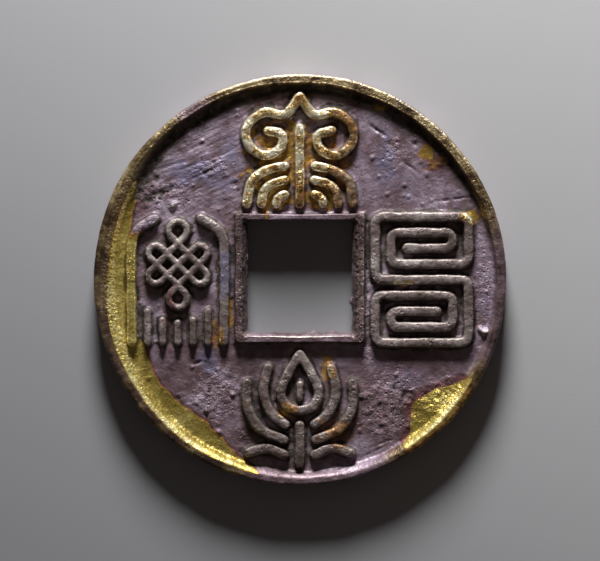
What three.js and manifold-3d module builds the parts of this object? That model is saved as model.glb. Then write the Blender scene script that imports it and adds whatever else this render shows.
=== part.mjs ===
// A large cast bronze cash coin, lying on its reverse. It has a square hole for a string, a raised
// outer rim and a raised frame round the hole on both faces, and four relief ornaments on the
// obverse: a cloud scroll above the hole, a key fret to its right, a lotus below and a knot to its left.
// Millimetres, +Z up, +Y towards the cloud scroll. The origin is the centre of the underside.
import * as THREE from "three";
import { mergeVertices } from "three/addons/utils/BufferGeometryUtils.js";
import Module from "manifold-3d";

const wasm = await Module();
wasm.setup();

// The flan and its outer rims
const COIN_RADIUS = 22.5;
const FIELD_THICKNESS = 1.6;
const OBVERSE_RIM_HEIGHT = 1.0;
const REVERSE_RIM_HEIGHT = 0.6;
const RIM_FACE_WIDTH = 0.85; // the rim's flat face
const SIDE_SLOPE_RUN = 0.85; // from that face in to the field, at the coin's left and right
const END_SLOPE_RUN = 0.45; // the same at its top and bottom
const EDGE_ROUND = 0.3; // how far the rim's outer corner is rounded off
const ROUND_STEPS = 3;
const COIN_SIDES = 96;

// The square hole and the frame round it
const HOLE_WIDTH = 11.6;
const HOLE_HEIGHT = 12.3;
const HOLE_RISE = 0.3; // the hole's centre lies this far above the coin's
const HOLE_CORNER = 0.35;
const FRAME_SIDE_WIDTH = 1.35;
const FRAME_TOP_WIDTH = 0.8;
const FRAME_BOTTOM_WIDTH = 1.05;
const OBVERSE_FRAME_HEIGHT = 0.9;
const REVERSE_FRAME_HEIGHT = 0.5;
const FRAME_DRAFT = 0.12; // how far each side of the frame's foot stands out past its face
const CORNER_STEPS = 4;

// The relief strokes, which are narrower at the top than at the foot
const STROKE_HEIGHT = 0.9;
const STROKE_WIDTH = 0.8; // across the flat top
const FINE_STROKE_WIDTH = 0.52; // the knot's cords, the tassel's strands and the bud's heart
const STROKE_DRAFT = 0.2; // how much further the foot reaches on each side
const SHOULDER_DROP = 0.22; // how far down the side the top's rounding begins
const SHOULDER_RUN = 0.11;
const STROKE_CAP_STEPS = 5;
const STROKE_STEP = 0.6; // between the points of a curve

// Where the ornaments stand
const RIM_CLEARANCE = 0.35; // from a stroke's foot to the rim's foot
const FRAME_CLEARANCE = 0.45; // from a stroke's foot to the frame's
const ORNAMENT_INSET = 0.8; // how far the upper and lower ornaments end short of the frame's sides
const SIDE_ORNAMENT_HEIGHT = 14.9; // over the strokes' feet
const KNOT_CLEARANCE = 0.75; // from the knot's foot to the ribbons' and the tassel's
const FRET_ROWS = 9;
const TASSEL_STRANDS = 5; // an odd number, so that one hangs under the knot's lowest loop

// Planes and outlines that follow from these
const fieldBottom = REVERSE_RIM_HEIGHT;
const fieldTop = fieldBottom + FIELD_THICKNESS;
const faceInnerRadius = COIN_RADIUS - EDGE_ROUND - RIM_FACE_WIDTH;
const rimFoot = {
  x: faceInnerRadius - SIDE_SLOPE_RUN,
  y: faceInnerRadius - END_SLOPE_RUN,
};
const hole = {
  left: -HOLE_WIDTH / 2,
  right: HOLE_WIDTH / 2,
  bottom: HOLE_RISE - HOLE_HEIGHT / 2,
  top: HOLE_RISE + HOLE_HEIGHT / 2,
};
const frameFoot = {
  left: hole.left - FRAME_SIDE_WIDTH,
  right: hole.right + FRAME_SIDE_WIDTH,
  bottom: hole.bottom - FRAME_BOTTOM_WIDTH,
  top: hole.top + FRAME_TOP_WIDTH,
};
const strokeFoot = STROKE_WIDTH / 2 + STROKE_DRAFT; // half the width of a stroke's foot
const fineFoot = FINE_STROKE_WIDTH / 2 + STROKE_DRAFT;

const bronze = new THREE.MeshStandardMaterial({
  color: 0x6e5a62,
  roughness: 0.5,
  metalness: 0.6,
});
const giltBronze = new THREE.MeshStandardMaterial({
  color: 0xb08f45,
  roughness: 0.42,
  metalness: 0.85,
});

// Solids and meshes

function asSolid(geometry) {
  const bare = geometry.clone();
  bare.deleteAttribute("normal");
  bare.deleteAttribute("uv");
  const merged = mergeVertices(bare, 1e-4);
  return new wasm.Manifold(
    new wasm.Mesh({
      numProp: 3,
      vertProperties: new Float32Array(merged.attributes.position.array),
      triVerts: new Uint32Array(merged.index.array),
    }),
  );
}

function asGeometry(solid) {
  const mesh = solid.getMesh();
  const geometry = new THREE.BufferGeometry();
  geometry.setAttribute(
    "position",
    new THREE.BufferAttribute(mesh.vertProperties, mesh.numProp),
  );
  geometry.setIndex(new THREE.BufferAttribute(mesh.triVerts, 1));
  geometry.computeVertexNormals();
  return geometry;
}

function indexedGeometry(points, faces) {
  const geometry = new THREE.BufferGeometry();
  geometry.setFromPoints(points);
  geometry.setIndex(faces.flat());
  geometry.computeVertexNormals();
  return geometry;
}

// A closed surface through rings of equal count, lowest first, each counter-clockwise from above.
function loft(rings, capFaces) {
  const count = rings[0].length;
  const faces = [];
  for (let level = 0; level < rings.length - 1; level++) {
    const low = level * count;
    for (let i = 0; i < count; i++) {
      const j = (i + 1) % count;
      faces.push([low + i, low + j, low + count + j]);
      faces.push([low + i, low + count + j, low + count + i]);
    }
  }
  const top = (rings.length - 1) * count;
  for (const [a, b, c] of capFaces) {
    faces.push([a, c, b]);
    faces.push([top + a, top + b, top + c]);
  }
  return indexedGeometry(rings.flat(), faces);
}

// Strokes

// The levels of a stroke's side, as half widths and heights, for a flat top this wide.
function strokeLevels(topWidth) {
  const half = topWidth / 2;
  return [
    { half: half + STROKE_DRAFT, z: fieldTop },
    { half: half + SHOULDER_RUN, z: fieldTop + STROKE_HEIGHT - SHOULDER_DROP },
    { half, z: fieldTop + STROKE_HEIGHT },
  ];
}

// The unit direction of travel at each point of a path.
function directions(path) {
  const last = path.length - 1;
  return path.map((_, i) => {
    const before = path[Math.max(i - 1, 0)];
    const after = path[Math.min(i + 1, last)];
    return after.clone().sub(before).normalize();
  });
}

// The points of a half circle round an end of a stroke, without its two ends.
function capArc(centre, direction, half, z) {
  const start = Math.atan2(direction.y, direction.x) - Math.PI / 2;
  return Array.from({ length: STROKE_CAP_STEPS - 1 }, (_, k) => {
    const angle = start + (Math.PI * (k + 1)) / STROKE_CAP_STEPS;
    return new THREE.Vector3(
      centre.x + half * Math.cos(angle),
      centre.y + half * Math.sin(angle),
      z,
    );
  });
}

function sidePoint(point, direction, offset, z) {
  return new THREE.Vector3(
    point.x + direction.y * offset,
    point.y - direction.x * offset,
    z,
  );
}

// A stroke with round ends along an open path.
function openStroke(path, topWidth = STROKE_WIDTH) {
  const along = directions(path);
  const last = path.length - 1;
  const rings = strokeLevels(topWidth).map(({ half, z }) => {
    const right = path.map((p, i) => sidePoint(p, along[i], half, z));
    const left = path.map((p, i) => sidePoint(p, along[i], -half, z));
    return [
      ...right,
      ...capArc(path[last], along[last], half, z),
      ...left.reverse(),
      ...capArc(path[0], along[0].clone().negate(), half, z),
    ];
  });
  // The flat cap: a strip between the two sides, and a fan in each round end.
  const arcPoints = STROKE_CAP_STEPS - 1;
  const endArc = path.length;
  const startArc = 2 * path.length + arcPoints;
  const leftOf = (i) => endArc + arcPoints + last - i;
  const cap = [];
  for (let i = 0; i < last; i++) {
    cap.push([i, i + 1, leftOf(i + 1)]);
    cap.push([i, leftOf(i + 1), leftOf(i)]);
  }
  for (let k = 0; k < arcPoints; k++) {
    const more = k + 1 < arcPoints;
    cap.push([last, endArc + k, more ? endArc + k + 1 : leftOf(last)]);
    cap.push([leftOf(0), startArc + k, more ? startArc + k + 1 : 0]);
  }
  return loft(rings, cap);
}

function fused(geometries) {
  const [first, ...others] = geometries.map(asSolid);
  return asGeometry(others.reduce((whole, next) => whole.add(next), first));
}

// Paths

// A smooth curve through a few points.
function through(points) {
  const curve = new THREE.SplineCurve(points);
  return curve.getSpacedPoints(Math.ceil(curve.getLength() / STROKE_STEP));
}

const ARC_HANDLE = 0.5523; // the handle that makes a cubic curve follow a quarter circle

// Straight runs between corners that are rounded off to a radius.
function roundedRun(corners, radius) {
  const path = new THREE.Path();
  path.moveTo(corners[0].x, corners[0].y);
  for (let i = 1; i < corners.length - 1; i++) {
    const corner = corners[i];
    const towards = (other) => {
      const away = other.clone().sub(corner);
      return away.setLength(Math.min(radius, away.length() / 2)).add(corner);
    };
    const enter = towards(corners[i - 1]);
    const leave = towards(corners[i + 1]);
    const first = enter.clone().lerp(corner, ARC_HANDLE);
    const second = leave.clone().lerp(corner, ARC_HANDLE);
    path.lineTo(enter.x, enter.y);
    path.bezierCurveTo(first.x, first.y, second.x, second.y, leave.x, leave.y);
  }
  const end = corners[corners.length - 1];
  path.lineTo(end.x, end.y);
  return path.getPoints(CORNER_STEPS);
}

// Points along an arc, counter-clockwise from its start.
function arc(centre, radius, startDegrees, sweepDegrees) {
  const sweep = (sweepDegrees * Math.PI) / 180;
  const steps = Math.max(STROKE_CAP_STEPS, Math.ceil((radius * sweep) / STROKE_STEP));
  return Array.from({ length: steps + 1 }, (_, i) => {
    const angle = (startDegrees * Math.PI) / 180 + (sweep * i) / steps;
    return new THREE.Vector2(
      centre.x + radius * Math.cos(angle),
      centre.y + radius * Math.sin(angle),
    );
  });
}

const mirrored = (path) => path.map((p) => new THREE.Vector2(-p.x, p.y));

// Each path as a stroke to the left, and its mirror image to the right.
function pairsOfStrokes(name, paths) {
  const strokes = {};
  for (const [part, path] of Object.entries(paths)) {
    strokes[`${name}_${part}_left`] = openStroke(path);
    strokes[`${name}_${part}_right`] = openStroke(mirrored(path));
  }
  return strokes;
}

// Boxes for the strokes' centrelines. at(u, v) goes from -1 to 1 across and up.

function strokeBox(left, right, bottom, top) {
  const half = new THREE.Vector2((right - left) / 2, (top - bottom) / 2);
  const centre = new THREE.Vector2((left + right) / 2, (bottom + top) / 2);
  const at = (u, v) =>
    new THREE.Vector2(centre.x + u * half.x, centre.y + v * half.y);
  return { half, centre, at };
}

// How far from the coin's centre a stroke's centreline may come.
const reach = {
  x: rimFoot.x - RIM_CLEARANCE - strokeFoot,
  y: rimFoot.y - RIM_CLEARANCE - strokeFoot,
};
const upperHalfWidth = frameFoot.right - ORNAMENT_INSET - strokeFoot;
const upperCornerHeight = reach.y * Math.sqrt(1 - (upperHalfWidth / reach.x) ** 2);
const sideHalfHeight = SIDE_ORNAMENT_HEIGHT / 2 - strokeFoot;
const sideCornerReach = reach.x * Math.sqrt(1 - (sideHalfHeight / reach.y) ** 2);
const fromFrame = FRAME_CLEARANCE + strokeFoot;

const upperBox = strokeBox(
  -upperHalfWidth,
  upperHalfWidth,
  frameFoot.top + fromFrame,
  upperCornerHeight,
);
const lowerBox = strokeBox(
  -upperHalfWidth,
  upperHalfWidth,
  -upperCornerHeight,
  frameFoot.bottom - fromFrame,
);
const rightBox = strokeBox(
  frameFoot.right + fromFrame,
  sideCornerReach,
  -sideHalfHeight,
  sideHalfHeight,
);
const leftBox = strokeBox(
  -sideCornerReach,
  frameFoot.left - fromFrame,
  -sideHalfHeight,
  sideHalfHeight,
);

// The cloud scroll above the hole: a head of two volutes that meet at a peak, over a stem with
// three drooping leaves on each side.
function cloudScroll() {
  const { at } = upperBox;
  const volute = through([
    new THREE.Vector2(0, reach.y),
    at(-0.28, 0.8),
    at(-0.65, 0.85),
    at(-0.97, 0.6),
    at(-0.99, 0.22),
    at(-0.7, -0.03),
    at(-0.38, 0.1),
    at(-0.33, 0.38),
    at(-0.6, 0.47),
  ]);
  const leaves = {
    outer: through([at(-0.28, -0.24), at(-0.62, -0.33), at(-0.91, -0.55), at(-1, -1)]),
    middle: through([at(-0.28, -0.53), at(-0.52, -0.6), at(-0.68, -0.76), at(-0.72, -1)]),
    inner: through([at(-0.28, -0.82), at(-0.4, -0.88), at(-0.44, -1)]),
  };
  return {
    cloud_head: fused([openStroke(volute), openStroke(mirrored(volute))]),
    cloud_stem: openStroke([at(0, 0.52), at(0, -1)]),
    ...pairsOfStrokes("cloud_leaf", leaves),
  };
}

// The key fret to the right: a square spiral at each end of one stroke, in nine even rows.
function keyFret() {
  const { at, half, centre } = rightBox;
  const row = 2 / (FRET_ROWS - 1); // the rows' spacing, as a share of half the box's height
  const column = (row * half.y) / half.x; // the same spacing across
  const upper = [
    at(-1 + 2 * column, 1 - 2 * row),
    at(1 - column, 1 - 2 * row),
    at(1 - column, 1 - row),
    at(-1 + column, 1 - row),
    at(-1 + column, row),
    at(1, row),
    at(1, 1),
    at(-1, 1),
    at(-1, 0),
  ];
  const lower = upper.map((p) => centre.clone().multiplyScalar(2).sub(p)).reverse();
  const path = roundedRun([...upper, ...lower], (row * half.y) / 2);
  return { key_fret: openStroke(path) };
}

// The lotus below the hole: a bud between two pairs of petals, on a stem with two leaves.
function lotus() {
  const { at } = lowerBox;
  const budSide = through([
    at(0, 0.97),
    at(-0.21, 0.6),
    at(-0.36, 0.22),
    at(-0.24, -0.06),
    at(0, -0.14),
  ]);
  const petals = {
    inner: through([at(-0.28, -0.4), at(-0.54, -0.18), at(-0.69, 0.22), at(-0.6, 0.7)]),
    outer: through([at(-0.3, -0.7), at(-0.74, -0.5), at(-0.99, -0.08), at(-1, 0.4)]),
  };
  const leaves = { leaf: through([at(-0.29, -1), at(-0.62, -0.87), at(-0.97, -0.96)]) };
  return {
    lotus_bud: fused([openStroke(budSide), openStroke(mirrored(budSide))]),
    lotus_heart: openStroke([at(0, 0.12), at(0, 0.38)], FINE_STROKE_WIDTH),
    lotus_stem: openStroke([at(0, -0.42), new THREE.Vector2(0, -reach.y)]),
    ...pairsOfStrokes("lotus_petal", petals),
    ...pairsOfStrokes("lotus", leaves),
  };
}

// The knot to the left: six crossing cords looped together, between two ribbons, over a tassel.
function knot() {
  const { at, half, centre } = leftBox;
  // The cords' spacing is as wide as fits between the ribbons and above the tassel.
  const loopStart = 1.62; // in spacings from the knot's centre
  const halfWidth = (loopStart + 0.5) / Math.SQRT2 + 0.5; // in spacings
  const room = half.x - strokeFoot - KNOT_CLEARANCE - fineFoot;
  const spacing = Math.min(room / halfWidth, 0.235 * half.y);
  const end = loopStart * spacing;
  const middle = at(0, 0.24);
  const origin = new THREE.Vector2();
  const placed = (path) =>
    path.map((p) => p.clone().rotateAround(origin, Math.PI / 4).add(middle));
  const point = (x, y) => new THREE.Vector2(x, y);
  const cords = [];
  for (const offset of [-spacing, 0, spacing]) {
    cords.push([point(-end, offset), point(end, offset)]);
    cords.push([point(offset, -end), point(offset, end)]);
  }
  const bend = spacing / 2;
  cords.push(arc(point(end, -bend), bend, -90, 180));
  cords.push(arc(point(-end, bend), bend, 90, 180));
  cords.push(arc(point(-bend, end), bend, 0, 180));
  cords.push(arc(point(bend, -end), bend, 180, 180));
  cords.push(arc(point(end, end), end - spacing, -90, 270));
  cords.push(arc(point(-end, -end), end - spacing, 90, 270));
  const ribbon = through([at(-0.5, 0.97), at(-0.93, 0.72), at(-1, 0.2), at(-0.98, -0.98)]);
  const acrossCentre = (p) => new THREE.Vector2(2 * centre.x - p.x, p.y);
  const pieces = {
    knot_cords: fused(cords.map((path) => openStroke(placed(path), FINE_STROKE_WIDTH))),
    knot_ribbon_left: openStroke(ribbon),
    knot_ribbon_right: openStroke(ribbon.map(acrossCentre)),
  };
  // The tassel's strands hang evenly between the ribbons' feet, each clear of the loop above it.
  const lowestLoop = (loopStart * Math.SQRT2 + loopStart - 1) * spacing;
  const tasselTop = middle.y - lowestLoop - KNOT_CLEARANCE - 2 * fineFoot;
  const rise = 0.19 * spacing; // from one strand's top to the next, more so further out
  const strandsPerSide = (TASSEL_STRANDS - 1) / 2;
  const strandSpacing = (half.x - strokeFoot + fineFoot) / (strandsPerSide + 1);
  for (let strand = -strandsPerSide; strand <= strandsPerSide; strand++) {
    const foot = at((strand * strandSpacing) / half.x, -1);
    const top = new THREE.Vector2(foot.x, tasselTop + rise * strand ** 2);
    const name = `knot_tassel_${strand + strandsPerSide + 1}`;
    pieces[name] = openStroke([top, foot], FINE_STROKE_WIDTH);
  }
  return pieces;
}

// Flan, rims and frames

// A rectangle's corners rounded off, counter-clockwise from the lower right.
function roundedRectangle({ left, right, bottom, top }, radius, z) {
  const corners = [
    [right - radius, bottom + radius, -90],
    [right - radius, top - radius, 0],
    [left + radius, top - radius, 90],
    [left + radius, bottom + radius, 180],
  ];
  return corners.flatMap(([x, y, start]) =>
    Array.from({ length: CORNER_STEPS + 1 }, (_, i) => {
      const angle = ((start + (90 * i) / CORNER_STEPS) * Math.PI) / 180;
      return new THREE.Vector3(x + radius * Math.cos(angle), y + radius * Math.sin(angle), z);
    }),
  );
}

const grown = ({ left, right, bottom, top }, by) => ({
  left: left - by,
  right: right + by,
  bottom: bottom - by,
  top: top + by,
});

function fanCap(count) {
  return Array.from({ length: count - 2 }, (_, i) => [0, i + 1, i + 2]);
}

function rectanglePrism(levels) {
  const rings = levels.map(({ outline, radius, z }) =>
    roundedRectangle(outline, radius, z),
  );
  return loft(rings, fanCap(rings[0].length));
}

// The hole as a solid that runs past both faces of the coin.
function holePrism() {
  const past = fieldTop + OBVERSE_RIM_HEIGHT;
  return rectanglePrism([
    { outline: hole, radius: HOLE_CORNER, z: -past },
    { outline: hole, radius: HOLE_CORNER, z: 2 * past },
  ]);
}

function oval(halfWidth, halfHeight, z) {
  return Array.from({ length: COIN_SIDES }, (_, i) => {
    const angle = (2 * Math.PI * i) / COIN_SIDES;
    return new THREE.Vector3(halfWidth * Math.cos(angle), halfHeight * Math.sin(angle), z);
  });
}

const circle = (radius, z) => oval(radius, radius, z);

function field() {
  const disc = loft(
    [circle(COIN_RADIUS, fieldBottom), circle(COIN_RADIUS, fieldTop)],
    fanCap(COIN_SIDES),
  );
  return asGeometry(asSolid(disc).subtract(asSolid(holePrism())));
}

// A frame round the hole, from its foot on the field to its face.
function frame(footZ, faceZ) {
  const corner = HOLE_CORNER + FRAME_SIDE_WIDTH / 2;
  const foot = { outline: frameFoot, radius: corner, z: footZ };
  const face = {
    outline: grown(frameFoot, -FRAME_DRAFT),
    radius: corner - FRAME_DRAFT,
    z: faceZ,
  };
  const block = rectanglePrism(faceZ > footZ ? [foot, face] : [face, foot]);
  return asGeometry(asSolid(block).subtract(asSolid(holePrism())));
}

// The outer rim from the field's plane to the rim's face, turned as a closed profile.
function outerRim(fieldZ, faceZ) {
  const up = Math.sign(faceZ - fieldZ);
  const rings = [oval(rimFoot.x, rimFoot.y, fieldZ), circle(COIN_RADIUS, fieldZ)];
  for (let i = 0; i <= ROUND_STEPS; i++) {
    const angle = (Math.PI / 2) * (i / ROUND_STEPS);
    const radius = COIN_RADIUS - EDGE_ROUND * (1 - Math.cos(angle));
    rings.push(circle(radius, faceZ - up * EDGE_ROUND * (1 - Math.sin(angle))));
  }
  rings.push(circle(faceInnerRadius, faceZ));
  return turned(up > 0 ? rings : rings.reverse());
}

// A closed surface of rings that follow a profile round and end where they began.
function turned(rings) {
  const count = rings[0].length;
  const faces = [];
  rings.forEach((_, k) => {
    const here = k * count;
    const there = ((k + 1) % rings.length) * count;
    for (let i = 0; i < count; i++) {
      const j = (i + 1) % count;
      faces.push([here + i, here + j, there + j]);
      faces.push([here + i, there + j, there + i]);
    }
  });
  return indexedGeometry(rings.flat(), faces);
}

const castPieces = {
  field: field(),
  outer_rim: outerRim(fieldTop, fieldTop + OBVERSE_RIM_HEIGHT),
  hole_frame: frame(fieldTop, fieldTop + OBVERSE_FRAME_HEIGHT),
  reverse_outer_rim: outerRim(fieldBottom, fieldBottom - REVERSE_RIM_HEIGHT),
  reverse_hole_frame: frame(fieldBottom, fieldBottom - REVERSE_FRAME_HEIGHT),
  ...keyFret(),
  ...lotus(),
  ...knot(),
};

function addMeshes(group, pieces, material) {
  for (const [name, geometry] of Object.entries(pieces)) {
    const mesh = new THREE.Mesh(geometry, material);
    mesh.name = name;
    group.add(mesh);
  }
}

const coin = new THREE.Group();
addMeshes(coin, castPieces, bronze);
addMeshes(coin, cloudScroll(), giltBronze);

export default coin;
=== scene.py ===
import itertools
import math
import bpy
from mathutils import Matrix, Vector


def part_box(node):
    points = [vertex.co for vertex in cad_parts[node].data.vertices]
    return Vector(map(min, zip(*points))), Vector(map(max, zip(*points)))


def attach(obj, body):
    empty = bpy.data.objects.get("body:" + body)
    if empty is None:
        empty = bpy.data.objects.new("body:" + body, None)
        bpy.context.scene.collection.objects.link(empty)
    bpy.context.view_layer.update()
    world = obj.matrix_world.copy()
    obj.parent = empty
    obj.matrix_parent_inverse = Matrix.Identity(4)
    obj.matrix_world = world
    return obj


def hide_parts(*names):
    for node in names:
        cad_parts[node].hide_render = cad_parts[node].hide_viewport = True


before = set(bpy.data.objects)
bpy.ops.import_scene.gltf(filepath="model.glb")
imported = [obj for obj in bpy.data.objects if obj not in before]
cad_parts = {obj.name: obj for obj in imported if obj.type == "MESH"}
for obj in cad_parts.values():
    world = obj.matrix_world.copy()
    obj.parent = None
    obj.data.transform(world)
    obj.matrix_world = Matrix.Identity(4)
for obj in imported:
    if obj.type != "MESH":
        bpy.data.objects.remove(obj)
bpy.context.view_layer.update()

from types import SimpleNamespace

import bpy
import numpy as np

# A large cast bronze cash coin on a pale grey ground, seen from straight above under one low window.
# Every casting feature is its own closed mesh, with the surface of worn, gilded, patinated bronze.
# Lengths are in millimetres until a mesh is made. Heights on the coin go up from the ground it lies on.

MM = 0.001

# Sizes that the frame gives


def box_mm(node):
    low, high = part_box(node)
    return np.array(low) / MM, np.array(high) / MM


def node_points(node):
    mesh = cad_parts[node].data
    points = np.empty(len(mesh.vertices) * 3)
    mesh.vertices.foreach_get("co", points)
    return points.reshape(-1, 3) / MM


FIELD_BOTTOM, FIELD_TOP = (corner[2] for corner in box_mm("field"))
COIN_RADIUS = box_mm("field")[1][0]
RIM_FACE = box_mm("outer_rim")[1][2]
REVERSE_RIM_FACE = box_mm("reverse_outer_rim")[0][2]
FRAME_FACE = box_mm("hole_frame")[1][2]
REVERSE_FRAME_FACE = box_mm("reverse_hole_frame")[0][2]
FRAME_FOOT = box_mm("hole_frame")
RELIEF_FACE = box_mm("key_fret")[1][2]

field_points = node_points("field")
hole_points = field_points[np.hypot(field_points[:, 0], field_points[:, 1]) < COIN_RADIUS / 2]
HOLE = hole_points.min(0), hole_points.max(0)
HOLE_CENTRE = (HOLE[0] + HOLE[1]) / 2

PLAIN_NODES = ("field", "outer_rim", "hole_frame", "reverse_outer_rim", "reverse_hole_frame")
RELIEF_NODES = sorted(set(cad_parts) - set(PLAIN_NODES))
GILDED_RIBBON = "knot_ribbon_left"  # it lies in the left crescent and is gilded like the field

# Noise. A number added to the points only moves them to another part of it.

NOISE_SCALE = 1.7  # brings gradient noise to about -1 to 1
OCTAVE_SHIFT = 7.3  # so that the octaves don't line up


class Noise:
    """Smooth noise over points in space, about -1 to 1, the same for the same seed."""

    def __init__(self, seed):
        random = np.random.default_rng(seed)
        self.order = np.tile(random.permutation(256), 3)
        directions = random.normal(size=(256, 3))
        self.slopes = directions / np.linalg.norm(directions, axis=1, keepdims=True)

    def at(self, points, size):
        scaled = points / size
        cell = np.floor(scaled).astype(int)
        inside = scaled - cell
        cell &= 255
        blend = inside ** 3 * (inside * (inside * 6 - 15) + 10)
        total = np.zeros(len(points))
        for corner in itertools.product((0, 1), repeat=3):
            x, y, z = (cell + corner).T
            slope = self.slopes[self.order[self.order[self.order[x] + y] + z]]
            weight = np.where(corner, blend, 1 - blend).prod(1)
            total += weight * (slope * (inside - corner)).sum(1)
        return NOISE_SCALE * total

    def fractal(self, points, size, octaves=3):
        total = np.zeros(len(points))
        for octave in range(octaves):
            total += self.at(points + OCTAVE_SHIFT * octave, size / 2 ** octave) / 2 ** octave
        return total


def ramp(value, low, high):
    """A smooth step from 0 at low to 1 at high."""
    t = np.clip((value - low) / (high - low), 0, 1)
    return t * t * (3 - 2 * t)


def fade(value, low, high):
    """A smooth step from 1 at low to 0 at high."""
    return 1 - ramp(value, low, high)


def lower_of(a, b, softness):
    """The lower of two heights, rounded off where they cross."""
    gap = np.clip(0.5 + 0.5 * (b - a) / softness, 0, 1)
    return b + (a - b) * gap - softness * gap * (1 - gap)


undulation = Noise(11)
casting_grain = Noise(12)
outline_wear = Noise(13)
stroke_wobble = Noise(14)
streaks = Noise(15)
tone = Noise(16)

# Where the gilding is left, in the coin's own plane. The two crescents are given as (angle in degrees,
# radius of the crescent's inner edge), counter-clockwise from the key fret's side.

NO_GOLD = 30.0
LEFT_CRESCENT = (
    (145, NO_GOLD), (148, 21.0), (151, 20.2), (159, 19.5), (168, 18.7), (180, 18.3), (190, 18.4),
    (197, 18.9), (202, 18.4), (208, 18.6), (217, 19.0), (227, 18.6), (236, 18.5), (244, 19.2),
    (252, 20.5), (258, 21.3), (262, NO_GOLD),
)
RIGHT_CRESCENT = (
    (300, NO_GOLD), (302, 21.1), (306, 20.5), (308, 19.5), (311, 18.6), (313, 18.2), (317, 18.5),
    (321, 18.9), (325, 20.0), (330, 21.2), (334, NO_GOLD),
)
# By angle on the outer rim's face: its thick gilding, its thin dull gilding, and how much lighter than
# the field its patina is.
RIM_GILDING = ((0, 0.0), (298, 0.0), (303, 0.5), (326, 0.52), (334, 0.0), (360, 0.0))
RIM_FILM = (
    (0, 0.1), (12, 0.4), (22, 0.95), (50, 1.0), (100, 1.0), (114, 0.85), (120, 0.35), (125, 0.35),
    (131, 0.9), (155, 1.0), (172, 0.9), (186, 0.65), (205, 0.6), (225, 0.7), (250, 0.7),
    (258, 0.3), (264, 0.0), (292, 0.0), (300, 0.8), (330, 0.9), (338, 0.3), (360, 0.1),
)
RIM_TONE = (
    (0, -0.18), (18, -0.07), (45, 0.0), (62, 0.0), (75, 0.05), (88, 0.0), (105, -0.02), (120, -0.01),
    (130, -0.02), (160, -0.04), (185, -0.06), (205, -0.07), (225, -0.13), (260, -0.1), (300, -0.1),
    (330, -0.08), (360, -0.18),
)
# By angle: the radius at which the obverse rim's face ends, the radius of its inner slope's foot, and
# how far past the face's edge the crescents' gilding reaches.
RIM_FACE_EDGE = (
    (0, 21.5), (45, 21.35), (90, 21.4), (120, 21.55), (150, 21.6), (165, 21.4), (180, 21.2),
    (205, 21.25), (225, 21.3), (250, 21.3), (270, 21.45), (315, 21.6), (345, 21.55), (360, 21.5),
)
RIM_FOOT = (
    (0, 21.15), (45, 21.0), (90, 21.0), (130, 20.75), (160, 20.25), (180, 19.95), (205, 20.0),
    (225, 20.4), (240, 20.6), (270, 20.75), (285, 20.85), (300, 20.85), (330, 21.0), (360, 21.15),
)
GILDING_REACH = (
    (0, 0.0), (145, -0.6), (170, -0.45), (185, -0.15), (195, 0.15), (252, 0.3), (300, 0.2), (360, 0.0),
)
# By angle, how fresh the gilding on the rim's inner slope is.
FRESH_GILDING = (
    (0, 0.0), (145, 1.0), (190, 1.0), (215, 0.5), (230, -0.1), (240, -0.7), (260, -0.9), (290, 0.0),
    (312, 0.25), (330, 0.2), (360, 0.0),
)
# By angle, how much painted highlight lies along the crest of the gilded rim.
CREST_PAINTED_GLEAM = (
    (0, 0.0), (200, 0.0), (215, 1.0), (240, 1.0), (250, 0.4), (262, 0.0), (300, 0.5), (312, 1.0),
    (322, 0.9), (334, 0.0), (360, 0.0),
)
# The field's patina is lighter and bluer towards the cloud scroll, as (y, tone).
FIELD_TONE = ((-17, -0.035), (-8, -0.015), (2, 0.02), (8, 0.04), (17, 0.05))
# Spots as (x, y, radius across, radius up, amount).
GOLD_SPOTS = (
    (14.1, 13.9, 1.0, 1.0, 0.66),
    (15.2, 12.9, 2.2, 1.5, 0.46),
    (8.5, 18.8, 1.1, 0.8, 0.64),
    (18.7, 6.9, 1.1, 0.8, 0.8),
    (20.6, 6.8, 0.3, 0.5, 0.8),
    (11.4, -0.4, 1.1, 0.3, 0.7),
    (3.0, -9.8, 0.9, 1.8, 0.56),
    (-1.5, -14.2, 1.3, 0.9, 0.54),
    (4.0, -16.5, 2.2, 2.2, 0.46),
    (-9.0, -5.9, 0.9, 1.9, 0.56),
    (-7.55, -3.2, 0.35, 2.6, 0.62),
    (-2.8, 9.5, 2.8, 2.2, 0.72),
    (2.2, 9.0, 2.4, 1.6, 0.64),
    (-1.5, 13.5, 5.0, 5.0, 0.6),
    (3.4, 12.5, 3.2, 4.5, 0.5),
)
BLUE_SPOTS = (
    (-11.6, 11.8, 3.0, 1.5, 1.1),
    (-8.8, 10.8, 2.4, 1.2, 0.8),
    (-7.4, 13.8, 1.8, 2.6, 0.7),
    (-5.5, 16.5, 2.5, 1.2, 0.4),
    (9.2, 13.2, 1.2, 3.2, 0.9),
    (11.0, 9.9, 2.2, 1.4, 0.6),
    (-7.9, 0.6, 0.9, 3.0, 1.1),
    (-10.0, -8.4, 1.1, 1.6, 1.2),
    (20.0, -2.5, 0.9, 2.6, 0.7),
    (12.0, -10.6, 2.6, 1.0, 0.6),
    (7.0, -13.0, 1.2, 2.6, 0.4),
)
STAIN_SPOTS = (
    (15.6, 12.5, 2.0, 1.2, 0.9),
    (12.6, 16.0, 0.7, 0.5, 0.7),
    (-14.3, -3.5, 0.7, 4.5, 0.8),
    (12.3, -14.6, 1.6, 2.2, 0.7),
    (15.2, -11.8, 2.6, 1.0, 0.7),
    (-17.2, 9.0, 1.0, 2.4, 0.5),
    (-3.2, -18.6, 3.2, 1.4, 0.4),
    (10.5, -11.5, 6.0, 5.0, 0.45),
)
LIGHT_SPOTS = (
    (19.9, -1.0, 1.3, 5.5, 1.0),
    (-14.2, 8.0, 1.6, 0.8, 0.5),
    (7.6, -3.0, 0.7, 5.0, 0.4),
    (14.0, 9.5, 2.5, 1.5, 0.4),
)
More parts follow.
